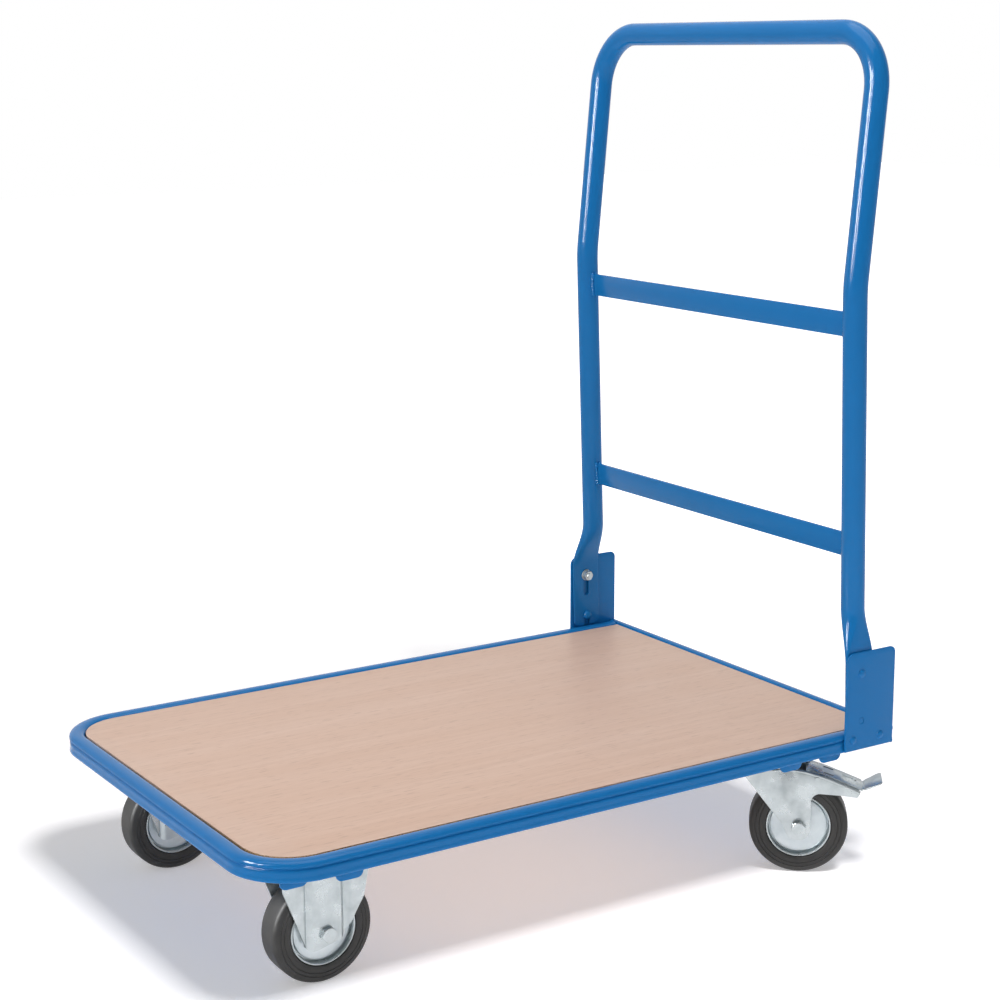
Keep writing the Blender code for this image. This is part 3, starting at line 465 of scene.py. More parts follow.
# %% Slabs, turned and lofted shapes
def slab(outline, low, high, axis, rim=0.0, segments=2):
    """Extrude an outline from low to high, and round both rims by `rim`."""
    bm = bmesh.new()
    face = bm.faces.new([bm.verts.new(in_plane(axis, a, b, low)) for a, b in outline])
    made = bmesh.ops.extrude_face_region(bm, geom=[face], use_keep_orig=True)
    lifted = [item for item in made["geom"] if isinstance(item, bmesh.types.BMVert)]
    bmesh.ops.translate(bm, verts=lifted, vec=in_plane(axis, 0, 0, high - low))
    bmesh.ops.recalc_face_normals(bm, faces=bm.faces)
    if rim > 0:
        index = "XYZ".index(axis)
        edges = [e for e in bm.edges if abs(e.verts[0].co[index] - e.verts[1].co[index]) < 1e-7]
        bmesh.ops.bevel(bm, geom=edges, offset=rim, offset_type="OFFSET", segments=segments,
                        profile=0.5, affect="EDGES", material=-1, clamp_overlap=True)
    return bm


def box(low, high, rim=0.0):
    """A box between two corners, with rounded rims."""
    (x0, y0, z0), (x1, y1, z1) = low, high
    bm = bmesh.new()
    bmesh.ops.create_cube(bm, size=1)
    bmesh.ops.scale(bm, verts=bm.verts, vec=(x1 - x0, y1 - y0, z1 - z0))
    bmesh.ops.translate(bm, verts=bm.verts, vec=((x0 + x1) / 2, (y0 + y1) / 2, (z0 + z1) / 2))
    if rim > 0:
        bmesh.ops.bevel(bm, geom=bm.edges[:], offset=rim, offset_type="OFFSET", segments=2,
                        profile=0.5, affect="EDGES", material=-1)
    return bm


def turned(profile, segments=48, axis="Y", closed=True):
    """Turn a (radius, along) profile about the axis. An open profile starts and ends on it."""
    bm = bmesh.new()
    spots = {"Y": lambda r, a: (0, a, -r), "Z": lambda r, a: (r, 0, a)}[axis]
    points = [bm.verts.new(spots(radius, along)) for radius, along in profile]
    edges = [bm.edges.new(pair) for pair in zip(points, points[1:])]
    if closed:
        edges.append(bm.edges.new((points[-1], points[0])))
    bmesh.ops.spin(bm, geom=points + edges, cent=(0, 0, 0), angle=math.tau, steps=segments,
                   axis=(0, 1, 0) if axis == "Y" else (0, 0, 1), use_merge=True)
    bmesh.ops.remove_doubles(bm, verts=bm.verts, dist=1e-6)
    return bm


def stadium(half_wide, half_thick):
    """A section that goes from a circle, when both halves are equal, to a flat bar with round edges."""
    def shape(c, s):
        side = 0 if abs(c) < 1e-6 else math.copysign(1, c)
        return side * (half_wide - half_thick) + half_thick * c, half_thick * s
    return shape


def loft(rings, segments=40):
    """Join rings, each a (matrix, section) pair, with bridged loops, and close both ends."""
    bm = bmesh.new()
    last = None
    for matrix, section in rings:
        ring = bmesh.ops.create_circle(bm, segments=segments, radius=1.0)["verts"]
        edges = list({edge for vert in ring for edge in vert.link_edges})
        for vert in ring:
            across, through = section(vert.co.x, vert.co.y)
            vert.co = matrix @ Vector((across, through, 0))
        if last is None:
            bmesh.ops.contextual_create(bm, geom=edges)
        else:
            bmesh.ops.bridge_loops(bm, edges=last + edges)
        last = edges
    bmesh.ops.contextual_create(bm, geom=last)
    return bm


# %% Joining, cutting and moving
def join(*parts):
    """Put several shapes into one, without welding them."""
    result = bmesh.new()
    for part in parts:
        mesh = bpy.data.meshes.new("joining")
        part.to_mesh(mesh)
        part.free()
        result.from_mesh(mesh)
        bpy.data.meshes.remove(mesh)
    return result


def combine(base, tool, operation):
    """Boolean of two closed shapes by the exact solver."""
    objects = []
    for bm in (base, tool):
        bmesh.ops.recalc_face_normals(bm, faces=bm.faces)
        mesh = bpy.data.meshes.new("working")
        bm.to_mesh(mesh)
        bm.free()
        objects.append(bpy.data.objects.new("working", mesh))
        bpy.context.scene.collection.objects.link(objects[-1])
    modifier = objects[0].modifiers.new("combine", "BOOLEAN")
    modifier.object = objects[1]
    modifier.operation = operation
    modifier.solver = "EXACT"
    result = bmesh.new()
    result.from_object(objects[0], bpy.context.evaluated_depsgraph_get())
    for obj in objects:
        bpy.data.objects.remove(obj, do_unlink=True)
    return result


def cut(base, *tools):
    for tool in tools:
        base = combine(base, tool, "DIFFERENCE")
    return base


def moved(bm, matrix):
    """Turn and place a shape; a mirror keeps its faces pointing out."""
    bmesh.ops.transform(bm, matrix=matrix, verts=bm.verts)
    if matrix.determinant() < 0:
        bmesh.ops.reverse_faces(bm, faces=bm.faces)
    return bm


def slice_plane(bm, spot, normal, clear=False):
    """Cut a shape along a plane, and drop what lies beyond it if asked."""
    bmesh.ops.bisect_plane(bm, geom=bm.verts[:] + bm.edges[:] + bm.faces[:], plane_co=spot,
                           plane_no=normal, clear_outer=clear)


def pin(radius, low, high, axis, centre, segments=32):
    """A plain round bar, used for holes."""
    return slab(arc(centre, radius, 0, 360 - 360 / segments, segments - 1), low, high, axis)


# %% [markdown]
# Every finished piece goes through one function: it recalculates the normals, shades round
# pieces smooth with sharp edges kept, hangs the piece on its body and hides the engineering
# nodes it stands for.

# %% Finishing a piece
def finish(name, bm, material, body, nodes, sharp=32):
    """Make the object, shade it, and tie it to the frame."""
    bmesh.ops.recalc_face_normals(bm, faces=bm.faces)
    mesh = bpy.data.meshes.new(name)
    bm.to_mesh(mesh)
    bm.free()
    mesh.shade_smooth()
    mesh.set_sharp_from_angle(angle=math.radians(sharp))
    mesh.materials.append(material)
    obj = bpy.data.objects.new(name, mesh)
    bpy.context.scene.collection.objects.link(obj)
    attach(obj, body)
    if nodes:
        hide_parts(*nodes)
    return obj


def centre_of(node):
    low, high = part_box(node)
    return (low + high) / 2


# %% [markdown]
# ## Side and front rail
# The rail is one strip of sheet rolled to a section: a rounded top bead, a soft groove below it, a
# lower wall that slopes outwards to its foot, and a ledge for the board. The section is drawn
# once, pulled along each straight and spun round each corner, so the mesh follows the same path
# as the roll former.

# %% The rail's section
frame_low, frame_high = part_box("perimeter_frame")
board_low, board_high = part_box("deck_board")
rear_low, rear_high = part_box("rear_rail")
WALL_DROP = 0.0018                 # the outer wall hangs this far below the ledge
RAIL_BOTTOM = frame_low.z + WALL_DROP
HALF_WIDTH = -frame_low.y
GROOVE_LOW, GROOVE_HIGH = 0.0122, 0.0160
WALL_SKIRT = [(0.0005, 0.0022), (0.0009, 0.0036), (0.00115, 0.0052), (0.0012, 0.0085), (0.0011, GROOVE_LOW)]
GROOVE_DEPTH = 0.0019
BEAD_RISE = frame_high.z - RAIL_BOTTOM - GROOVE_HIGH
LEDGE_TOP = board_low.z - RAIL_BOTTOM - 0.0003
LEDGE_REACH = 0.035
SHEET = 0.0018


def outer_skin(width):
    """(inward, up) from the rail's foot, up the wall, round the groove and over the bead."""
    points = arc((0.0032, 0.0030 - WALL_DROP), 0.0030, 270, 200, 5) + WALL_SKIRT
    for i in range(1, 8):
        up = GROOVE_LOW + (GROOVE_HIGH - GROOVE_LOW) * i / 8
        dip = math.sin(math.pi * i / 8) ** 1.3
        points.append((0.0011 - 0.0007 * i / 8 + GROOVE_DEPTH * dip, up))
    for i in range(25):
        turn = math.pi * i / 24
        across = -math.copysign(abs(math.cos(turn)) ** 0.85, math.cos(turn))
        points.append((width / 2 + (width / 2 - 0.0003) * across,
                       GROOVE_HIGH + BEAD_RISE * math.sin(turn) ** 0.80))
    return points


def rail_section(width):
    """The whole closed section: outer skin, ledge, and back up inside the bead."""
    points = outer_skin(width)
    points += [(width - 0.0003, LEDGE_TOP), (LEDGE_REACH, LEDGE_TOP), (LEDGE_REACH, LEDGE_TOP - SHEET),
               (width - SHEET, LEDGE_TOP - SHEET)]
    for i in range(13):
        turn = math.pi * (1 - i / 12)
        across = -math.cos(turn)
        points.append((width / 2 + (width / 2 - SHEET) * across,
                       GROOVE_HIGH + (BEAD_RISE - SHEET) * math.sin(turn)))
    points += [(0.0045, GROOVE_HIGH - 0.0016), (0.0032, GROOVE_LOW), (0.0020, GROOVE_LOW - 0.0029),
               (0.0032, SHEET - WALL_DROP)]
    return points


print("rail section:", len(rail_section(0.0205)), "points")


# %% [markdown]
# The path: from the rear end of one side, forward, round the two front corners and back.

# %% Rolling the rail
RAIL_WIDTH = 0.0205
CORNER_RADIUS = 0.080
CORNER_STEPS = 20


def make_rail():
    corner_x = frame_low.x + CORNER_RADIUS
    corner_y = HALF_WIDTH - CORNER_RADIUS
    bm = bmesh.new()
    loop = [bm.verts.new((frame_high.x, -HALF_WIDTH + inward, RAIL_BOTTOM + up))
            for inward, up in rail_section(RAIL_WIDTH)]
    first = [bm.edges.new((loop[i - 1], loop[i])) for i in range(len(loop))]

    def edges_of(geom):
        return [item for item in geom if isinstance(item, bmesh.types.BMEdge)]

    def pull(edges, vector):
        made = bmesh.ops.extrude_edge_only(bm, edges=edges)["geom"]
        bmesh.ops.translate(bm, verts=[v for v in made if isinstance(v, bmesh.types.BMVert)], vec=vector)
        return edges_of(made)

    def turn(edges, centre):
        verts = list({vert for edge in edges for vert in edge.verts})
        made = bmesh.ops.spin(bm, geom=verts + edges, cent=centre, axis=(0, 0, 1),
                              angle=math.radians(-90), steps=CORNER_STEPS)
        return edges_of(made["geom_last"])

    last = pull(first, (corner_x - frame_high.x, 0, 0))
    last = turn(last, (corner_x, -corner_y, 0))
    last = pull(last, (0, 2 * corner_y, 0))
    last = turn(last, (corner_x, corner_y, 0))
    last = pull(last, (frame_high.x - corner_x, 0, 0))
    for end in (first, last):
        bmesh.ops.contextual_create(bm, geom=end)
    return finish("side_and_front_rail", bm, blue, "chassis", ["perimeter_frame"], 50)


rail = make_rail()
print("rail faces:", len(rail.data.polygons))

# %% [markdown]
# ## Rear rail
# A narrower length of the same rolled section closes the handle end and shows its rounded end
# past each bracket. It is modelled solid, because its ends close on the side rails, with a
# separate ledge strip that stops short of them.

# %% Rear rail
REAR_RAIL_WIDTH = 0.014


def make_rear_rail():
    skin = outer_skin(REAR_RAIL_WIDTH) + [(REAR_RAIL_WIDTH - 0.0003, 0.0006)]
    outline = [(rear_high.x - inward, RAIL_BOTTOM + up) for inward, up in skin]
    run = slab(outline, rear_low.y, rear_high.y, "Y")
    ledge = box((rear_high.x - LEDGE_REACH, -HALF_WIDTH + LEDGE_REACH + 0.0003, RAIL_BOTTOM + 0.0006),
                (rear_high.x - REAR_RAIL_WIDTH + 0.001, HALF_WIDTH - LEDGE_REACH - 0.0003,
                 RAIL_BOTTOM + LEDGE_TOP), 0.0003)
    return finish("rear_rail_section", join(run, ledge), blue, "chassis", ["rear_rail"], 50)


make_rear_rail()


# %% [markdown]
# ## Board
# A plain slab would look moulded. The real board's decor is a fraction of a millimetre thick and
# it chips where the corner was routed, so the top face is inset to a narrow rim, and round the
# near front corner, on the -Y side, the rim's vertices are nudged down and sideways a little and marked as
# chipped.

# %% Board
def chip_rim(bm, layer, corner_x, corner_y):
    """Mark and roughen the board's rim round one front corner."""
    rng = random.Random(7)
    top = board_high.z
    for vert in bm.verts:
        near = vert.co.x < corner_x + 0.030 and vert.co.y < -corner_y + 0.045
        if not near or vert.co.z < top - 0.004:
            continue
        spoke = Vector((vert.co.x - corner_x, vert.co.y + corner_y))
        reach = spoke.length if vert.co.x < corner_x and vert.co.y < -corner_y else 0
        if (vert.co.x < board_low.x + 0.0004 or vert.co.y < board_low.y + 0.0004
                or reach > board_corner - 0.0010):
            fade = max(0.0, 1 - max(vert.co.x - corner_x, vert.co.y + corner_y, 0) / 0.030)
            vert[layer] = fade
            vert.co.z -= rng.uniform(0.0, 0.0011) * fade
            vert.co.x += rng.uniform(0.0, 0.0007) * fade
            vert.co.y += rng.uniform(0.0, 0.0007) * fade


board_corner = CORNER_RADIUS - RAIL_WIDTH - 0.0009


def make_board():
    outline = rounded([(board_high.x, board_low.y, 0), (board_high.x, board_high.y, 0),
                       (board_low.x, board_high.y, board_corner),
                       (board_low.x, board_low.y, board_corner)], 70)
    bm = slab(outline, board_low.z, board_high.z, "Z")
    lid = [face for face in bm.faces if face.normal.z > 0.9]
    bmesh.ops.inset_region(bm, faces=lid, thickness=0.0006, use_even_offset=True)
    bmesh.ops.inset_region(bm, faces=lid, thickness=0.0012, use_even_offset=True)
    rim = [e for e in bm.edges if all(abs(v.co.z - board_high.z) < 1e-6 for v in e.verts)
           and any(abs(f.normal.z) < 0.1 for f in e.link_faces)]
    bmesh.ops.bevel(bm, geom=rim, offset=0.0003, offset_type="OFFSET", segments=1, profile=0.5,
                    affect="EDGES", material=-1)
    layer = bm.verts.layers.float.new("chipped")
    chip_rim(bm, layer, board_low.x + board_corner, -board_low.y - board_corner)
    return finish("decor_board", bm, board_finish, "chassis", ["deck_board"], 30)


board = make_board()
print("board faces:", len(board.data.polygons))

# %% [markdown]
# ## Cross members
# Two pressed channels under the board carry the casters. Each has rounded tabs that turn down
# outside the ledge, and those tabs are what one sees below the rail.

# %% Cross members
TAB_HALF = 0.017
TAB_DROP = 0.0125
TAB_CORNER = 0.008


def make_cross_member(name, tabs):
    low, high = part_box(name)
    web_low = low.z + 0.0092
    web = box((low.x, low.y + 0.020, web_low), (high.x, high.y - 0.020, RAIL_BOTTOM - 0.0003), 0.0006)
    parts = [web]
    for x in (low.x, high.x - 0.0025):
        parts.append(box((x, -0.2495, RAIL_BOTTOM - 0.0015), (x + 0.0025, 0.2495, high.z), 0.0005))
    for side in SIDES.values():
        for tab_x, tab_face in tabs:
            outer = side * tab_face
            arm_y = sorted((side * (HALF_WIDTH - 0.050), outer))
            parts.append(box((tab_x - TAB_HALF, arm_y[0], web_low),
                             (tab_x + TAB_HALF, arm_y[1], RAIL_BOTTOM - 0.0003), 0.0006))
            front, rear = tab_x - TAB_HALF, tab_x + TAB_HALF
            top, bottom = RAIL_BOTTOM - 0.0003, RAIL_BOTTOM - TAB_DROP
            lip = rounded([(rear, top, 0), (front, top, 0), (front, bottom, TAB_CORNER),
                           (rear, bottom, TAB_CORNER)], 8)
            parts.append(slab(lip, *sorted((outer, outer - side * 0.003)), "Y", 0.0008))
    return finish(name + "_pressing", join(*parts), blue, "chassis", [name])


make_cross_member("front_cross_member", ((-0.398, 0.2795), (-0.336, 0.291)))
make_cross_member("rear_cross_member", ((0.289, 0.291), (0.353, 0.291)))

# %% [markdown]
# ## Handle brackets
# Each bracket is a 3 mm plate with rounded corners and deburred rims. The rim radius is what
# catches the light along the plate's front edge, so it is real geometry here.

# %% Handle brackets
PIVOT = Vector(joints["handle_fold"]["pos_m"])
LIFT_AXIS = Vector(joints["handle_lift"]["axis"])
LOCK_DROP = 0.062


def make_bracket(word):
    low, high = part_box("handle_bracket_" + word)
    outline = rounded([(low.x, low.z, 0.0006), (high.x, low.z, 0.004), (high.x, high.z, 0.008),
                       (low.x, high.z, 0.011)], 8)
    bm = slab(outline, low.y, high.y, "Y", 0.0008, 3)
    lock = PIVOT - LIFT_AXIS * LOCK_DROP
    holes = [(PIVOT.x, PIVOT.z, 0.0043), (lock.x, lock.z, 0.0043)]
    for end in ("front", "rear"):
        rivet = centre_of(end + "_rivet_" + word)
        holes.append((rivet.x, rivet.z, 0.0033))
    for x, z, radius in holes:
        bm = cut(bm, pin(radius, low.y - 0.001, high.y + 0.001, "Y", (x, z), 24))
    finish("bracket_plate_" + word, bm, blue, "chassis", ["handle_bracket_" + word])


for word in SIDES:
    make_bracket(word)
print("pivot at", tuple(round(v, 4) for v in PIVOT))


# %% [markdown]
# ## Rivets, lock pins and pivot bolts
# All are turned parts, so each is one profile and one spin. The profiles are measured outwards
# from the bracket's face, and the side's sign mirrors them.

# %% Turned fasteners of the handle
def dome(radius, height, base, steps=6):
    """(radius, along) points of a domed head from its top on the axis down to its rim."""
    return [(radius * math.sin(math.pi / 2 * i / steps),
             base + height * math.cos(math.pi / 2 * i / steps)) for i in range(steps + 1)]


def make_rivets(word, side):
    face = abs(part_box("handle_bracket_" + word)[1 if side > 0 else 0].y)
    for end in ("front", "rear"):
        node = end + "_rivet_" + word
        spot = centre_of(node)
        profile = dome(0.0052, 0.0024, face) + [(0.0030, face), (0.0030, face - 0.0090),
                                                (0.0042, face - 0.0092), (0.0040, face - 0.0100),
                                                (0, face - 0.0102)]
        bm = turned([(r, side * a) for r, a in profile], 32, closed=False)
        moved(bm, Matrix.Translation((spot.x, 0, spot.z)))
        finish("plate_" + node, bm, blue, "chassis", [node], 40)


def make_lock_pin(word, side):
    face = abs(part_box("handle_bracket_" + word)[1 if side > 0 else 0].y)
    inner = HALF_WIDTH - 0.0038
    profile = [(0, face), (0.0036, face), (0.0040, face - 0.0004), (0.0040, inner),
               (0.0066, inner), (0.0068, inner - 0.0008)]
    profile += [(r, 2 * (inner - 0.0008) - a)
                for r, a in reversed(dome(0.0068, 0.0050, inner - 0.0008, 8)[:-1])]
    bm = turned([(r, side * a) for r, a in profile], 32, closed=False)
    spot = PIVOT - LIFT_AXIS * LOCK_DROP
    moved(bm, Matrix.Translation((spot.x, 0, spot.z)))
    finish("domed_lock_pin_" + word, bm, blue, "chassis", ["lock_pin_" + word], 40)


for word, side in SIDES.items():
    make_rivets(word, side)
    make_lock_pin(word, side)


# %% [markdown]
# ### Hexagon heads and nuts
# A forged hexagon has its corners taken off by a 30 degree chamfer. Intersecting a six-sided
# prism with a turned, chamfered blank gives exactly those curved corner cuts, which a plain
# bevel would not.

# %% Hexagons and threads
def hexagon(across_flats, thickness, chamfered="one", turn=0.0):
    """A hexagon along +Y from 0 to its thickness, its outer face or both faces chamfered."""
    corner = across_flats / math.sqrt(3)
    prism = slab(arc((0, 0), corner, turn, turn + 300, 5), 0, thickness, "Y")
    drop = (corner - across_flats * 0.475) * math.tan(math.radians(30))
    foot = (across_flats * 0.475, 0) if chamfered == "both" else (corner * 1.02, 0)
    lip = (corner * 1.02, drop * 1.1) if chamfered == "both" else (corner * 1.02, thickness * 0.3)
    blank = turned([(0, thickness), (across_flats * 0.475, thickness),
                    (corner * 1.02, thickness - drop * 1.1), lip, foot, (0, 0)], 48, closed=False)
    return combine(prism, blank, "INTERSECT")


def thread(radius, low, high, pitch=0.00125):
    """(radius, along) points of a threaded end, as rings of one pitch each."""
    count = max(int((high - low) / pitch), 1)
    points = []
    for i in range(count):
        start = low + (high - low) * i / count
        points += [(radius - 0.0005, start), (radius, start + (high - low) / count / 2)]
    return points + [(radius - 0.0007, high), (0, high)]


# %% Pivot bolts, washers and nuts
def make_pivot(word, side):
    face = abs(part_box("handle_bracket_" + word)[1 if side > 0 else 0].y)
    tip = face - 0.0178
    spot = Matrix.Translation((PIVOT.x, 0, PIVOT.z))
    stem = thread(0.0040, -(face - 0.0065), -tip)
    profile = [(0, face), (0.0040, face)] + [(r, -a) for r, a in stem]
    bm = moved(turned([(r, side * a) for r, a in profile], 32, closed=False), spot)
    finish("carriage_bolt_" + word, bm, zinc, "handle_pivots", ["pivot_bolt_" + word], 40)
    profile = dome(0.0060, 0.0024, face) + [(0, face)]
    bm = moved(turned([(r, side * a) for r, a in profile], 32, closed=False), spot)
    finish("carriage_head_" + word, bm, blue, "handle_pivots", [], 40)

    low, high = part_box("pivot_washer_" + word)
    inner, outer = sorted((abs(low.y), abs(high.y)))
    ring = [(0.0043, inner), (0.0043, outer), (0.0078, outer), (0.0082, outer - 0.0004),
            (0.0082, inner + 0.0004), (0.0078, inner)]
    bm = moved(turned([(r, side * a) for r, a in ring], 36), spot)
    finish("plain_washer_" + word, bm, zinc, "handle_pivots", ["pivot_washer_" + word], 40)

    low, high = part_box("pivot_nut_" + word)
    inner, outer = sorted((abs(low.y), abs(high.y)))
    nut = cut(hexagon(0.013, outer - inner, "both"), pin(0.0042, -0.001, 0.02, "Y", (0, 0)))
    flip = Matrix.Identity(4) if side < 0 else Matrix.Rotation(math.pi, 4, "Z")
    nut = moved(nut, Matrix.Translation((PIVOT.x, side * outer, PIVOT.z)) @ flip)
    finish("hexagon_nut_" + word, nut, zinc, "handle_pivots", ["pivot_nut_" + word], 25)


for word, side in SIDES.items():
    make_pivot(word, side)

# %% [markdown]
# ## Handle
# The bow is one 30 mm tube. It rises with a slight lean towards the deck, bends back, and turns
# over the top in two tight corners. Its feet are pressed flat to straddle the lock pins. Rings are
# lofted up one leg: each has a place, a lean and a flatness, and the flatness eases from bar to
# tube so the flare has no kink. The other leg is the same list mirrored.

# %% The handle's route
TUBE_RADIUS = 0.015
TUBE_Y = 0.281
TUBE_SET_BACK = 0.004              # the tube stands this far behind the middle of its foot
FOOT_HALF_WIDTH = 0.0225
FOOT_HALF_THICK = 0.0016
FOOT_CORNER = 0.008
FOOT_BOTTOM, FLARE_START, FLARE_END = 0.186, 0.276, 0.346
LOWER_LEAN = math.radians(-1.9)
UPPER_LEAN = math.radians(5.6)
BEND_HEIGHT, BEND_RADIUS = 0.746, 0.220
HANDLE_TOP, TOP_CORNER_RADIUS = 1.049, 0.069


def handle_point(height):
    """The point of the lower axis at a height."""
    return PIVOT + Vector((math.tan(LOWER_LEAN), 0, 1)) * (height - PIVOT.z)


def foot_stations():
    """Up the flat foot and its flare: (point, lean, half width, half thickness)."""
    outer_face = HALF_WIDTH - 0.0003
    inset = outer_face - TUBE_Y - TUBE_RADIUS
    stations = []
    for i in range(7):
        swing = math.pi / 2 * i / 6
        height = FOOT_BOTTOM + FOOT_CORNER * (1 - math.cos(swing)) + 0.00001
        half = FOOT_HALF_WIDTH - FOOT_CORNER * (1 - math.sin(swing))
        spot = handle_point(height) + Vector((0, outer_face - FOOT_HALF_THICK, 0))
        stations.append((spot, LOWER_LEAN, half, FOOT_HALF_THICK))
    for i in range(25):
        ease = (i / 24) ** 2 * (3 - 2 * i / 24)
        height = FLARE_START + (FLARE_END - FLARE_START) * i / 24
        half_thick = FOOT_HALF_THICK + (TUBE_RADIUS - FOOT_HALF_THICK) * ease
        half_wide = FOOT_HALF_WIDTH + (TUBE_RADIUS - FOOT_HALF_WIDTH) * ease
        shift = Vector((TUBE_SET_BACK * ease, outer_face - inset * ease - half_thick, 0))
        stations.append((handle_point(height) + shift, LOWER_LEAN, half_wide, half_thick))
    return stations


def bow_stations():
    """The soft bend and one top corner, as round stations."""
    swing = UPPER_LEAN - LOWER_LEAN
    tangent = BEND_RADIUS * math.tan(swing / 2)
    bend = handle_point(BEND_HEIGHT) + Vector((TUBE_SET_BACK, 0, 0))
    lower = Vector((math.sin(LOWER_LEAN), 0, math.cos(LOWER_LEAN)))
    upper = Vector((math.sin(UPPER_LEAN), 0, math.cos(UPPER_LEAN)))
    centre = bend - lower * tangent + Vector((math.cos(LOWER_LEAN), 0, -math.sin(LOWER_LEAN))) * BEND_RADIUS
    stations = []
    for i in range(9):
        lean = LOWER_LEAN + swing * i / 8
        spot = centre + Vector((-math.cos(lean), 0, math.sin(lean))) * BEND_RADIUS
        stations.append((spot + Vector((0, TUBE_Y, 0)), lean, TUBE_RADIUS, TUBE_RADIUS))
    rise = (HANDLE_TOP - TOP_CORNER_RADIUS - bend.z) / math.cos(UPPER_LEAN)
    for i in range(21):
        turn = math.pi / 2 * i / 20
        up = rise + TOP_CORNER_RADIUS * math.sin(turn)
        y = TUBE_Y - TOP_CORNER_RADIUS * (1 - math.cos(turn))
        stations.append((bend + upper * up + Vector((0, y, 0)), UPPER_LEAN, TUBE_RADIUS, TUBE_RADIUS))
    return stations


# %% Lofting the handle
def ring_matrix(stations, i):
    """Where the ring of a station stands: across in X and Z, along the tube, and between them."""
    spot, lean, half_wide, half_thick = stations[i]
    before, after = stations[max(i - 1, 0)][0], stations[min(i + 1, len(stations) - 1)][0]
    across = Vector((math.cos(lean), 0, -math.sin(lean)))
    run = (after - before).normalized()
    if half_wide > half_thick:
        run = Vector((math.sin(lean), 0, math.cos(lean))) * (1 if i < len(stations) / 2 else -1)
    through = run.cross(across).normalized()
    matrix = Matrix((across, through, run)).transposed().to_4x4()
    return Matrix.Translation(spot) @ matrix


def foot_cutters(side):
    """Slot for the pivot bolt and notch for the lock pin, as solid tools."""
    lift = joints["handle_lift"]["range_m"][1]
    slot_outline = arc((0, 0.0042), 0.0048, 0, 180, 12) + arc((0, -lift - 0.0009), 0.0048, 180, 360, 12)
    notch = arc((0, -LOCK_DROP), 0.0046, 0, 180, 12) + [(-0.0056, -0.090), (0.0056, -0.090)]
    low, high = sorted((side * (HALF_WIDTH - 0.006), side * (HALF_WIDTH + 0.002)))
    tools = []
    for outline in (slot_outline, notch):
        tool = slab(outline, low, high, "Y")
        tools.append(moved(tool, Matrix.Translation(PIVOT) @ Matrix.Rotation(LOWER_LEAN, 4, "Y")))
    return tools


def make_handle():
    leg = foot_stations() + bow_stations()
    mirrored = [(Vector((p.x, -p.y, p.z)), lean, wide, thick) for p, lean, wide, thick in reversed(leg)]
    stations = leg + mirrored
    rings = [(ring_matrix(stations, i), stadium(wide, thick))
             for i, (spot, lean, wide, thick) in enumerate(stations)]
    bm = loft(rings, 40)
    bmesh.ops.triangulate(bm, faces=[face for face in bm.faces if len(face.verts) > 4])
    for side in SIDES.values():
        bm = cut(bm, *foot_cutters(side))
    return finish("bent_handle_tube", bm, blue, "handle", ["handle_tube"], 40)


handle = make_handle()
print("handle faces:", len(handle.data.polygons))

# %% [markdown]
# ## Cross bars and their welds
# Two flat bars brace the bow. Each end is welded to the tube, and a weld is a row of overlapping
# puddles. Squashed spheres with a seeded jitter in size and place give the lumpy bead and its
# small bright glints.

# %% Cross bars
def make_cross_bar(name):
    low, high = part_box(name)
    centre = (low + high) / 2
    lean = Matrix.Translation(centre) @ Matrix.Rotation(LOWER_LEAN, 4, "Y")
    half = (0.00225, high.y + 0.0012, 0.01525)
    bar = box(tuple(-v for v in half), half, 0.0007)
    rng = random.Random(len(name))
    welds = []
    for side in SIDES.values():
        for face in (-1, 1):
            for i in range(9):
                puddle = bmesh.new()
                bmesh.ops.create_icosphere(puddle, subdivisions=2, radius=rng.uniform(0.0025, 0.0036))
                up = (i / 8 - 0.5) * 0.0285 + rng.uniform(-0.0006, 0.0006)
                out = face * (0.0024 + rng.uniform(0, 0.0006))
                spot = (out, side * (high.y + 0.0002 - rng.uniform(0, 0.0012)), up)
                moved(puddle, Matrix.Translation(spot) @ Matrix.Diagonal((0.7, 1.0, 1.0, 1.0)))
                welds.append(puddle)
    bm = moved(join(bar, *welds), lean)
    finish(name + "_welded", bm, blue, "handle", [name])


for name in ("upper_cross_bar", "lower_cross_bar"):
    make_cross_bar(name)

# %% [markdown]
# ## Wheels
# A solid tyre is moulded with faint rings on its walls and rounded shoulders. The wheel body is
# pressed sheet: a flat disc, a deep ring groove that reads as a dark line, and a rolled bright
# edge against the rubber. Both are single profiles turned about the axle.

# %% Wheel profiles
WHEEL_RADIUS = (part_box("front_left_tyre")[1].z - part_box("front_left_tyre")[0].z) / 2
TYRE_HALF = (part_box("front_left_tyre")[1].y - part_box("front_left_tyre")[0].y) / 2


def mirrored_profile(half):
    """Close a profile given from the bore to the middle of the width."""
    return half + [(r, -a) for r, a in reversed(half) if a > 1e-6]


def tyre_profile():
    half = [(0.0412, 0.0158), (0.0420, 0.0176), (0.0436, TYRE_HALF - 0.0003), (0.0462, TYRE_HALF)]
    for ring in (0.0490, 0.0535):
        half += [(ring, TYRE_HALF), (ring + 0.0004, TYRE_HALF - 0.0006), (ring + 0.0010, TYRE_HALF - 0.0006),
                 (ring + 0.0014, TYRE_HALF - 0.0001)]
    half += [(0.0565, TYRE_HALF - 0.0008)]
    half += [(0.0565 + 0.0060 * math.sin(math.radians(t)), 0.0117 + 0.0060 * math.cos(math.radians(t)))
             for t in (20, 40, 60, 75)]
    half += [(WHEEL_RADIUS - 0.0001, 0.0100), (WHEEL_RADIUS, 0.0060), (WHEEL_RADIUS, 0.0008)]
    return mirrored_profile(half)


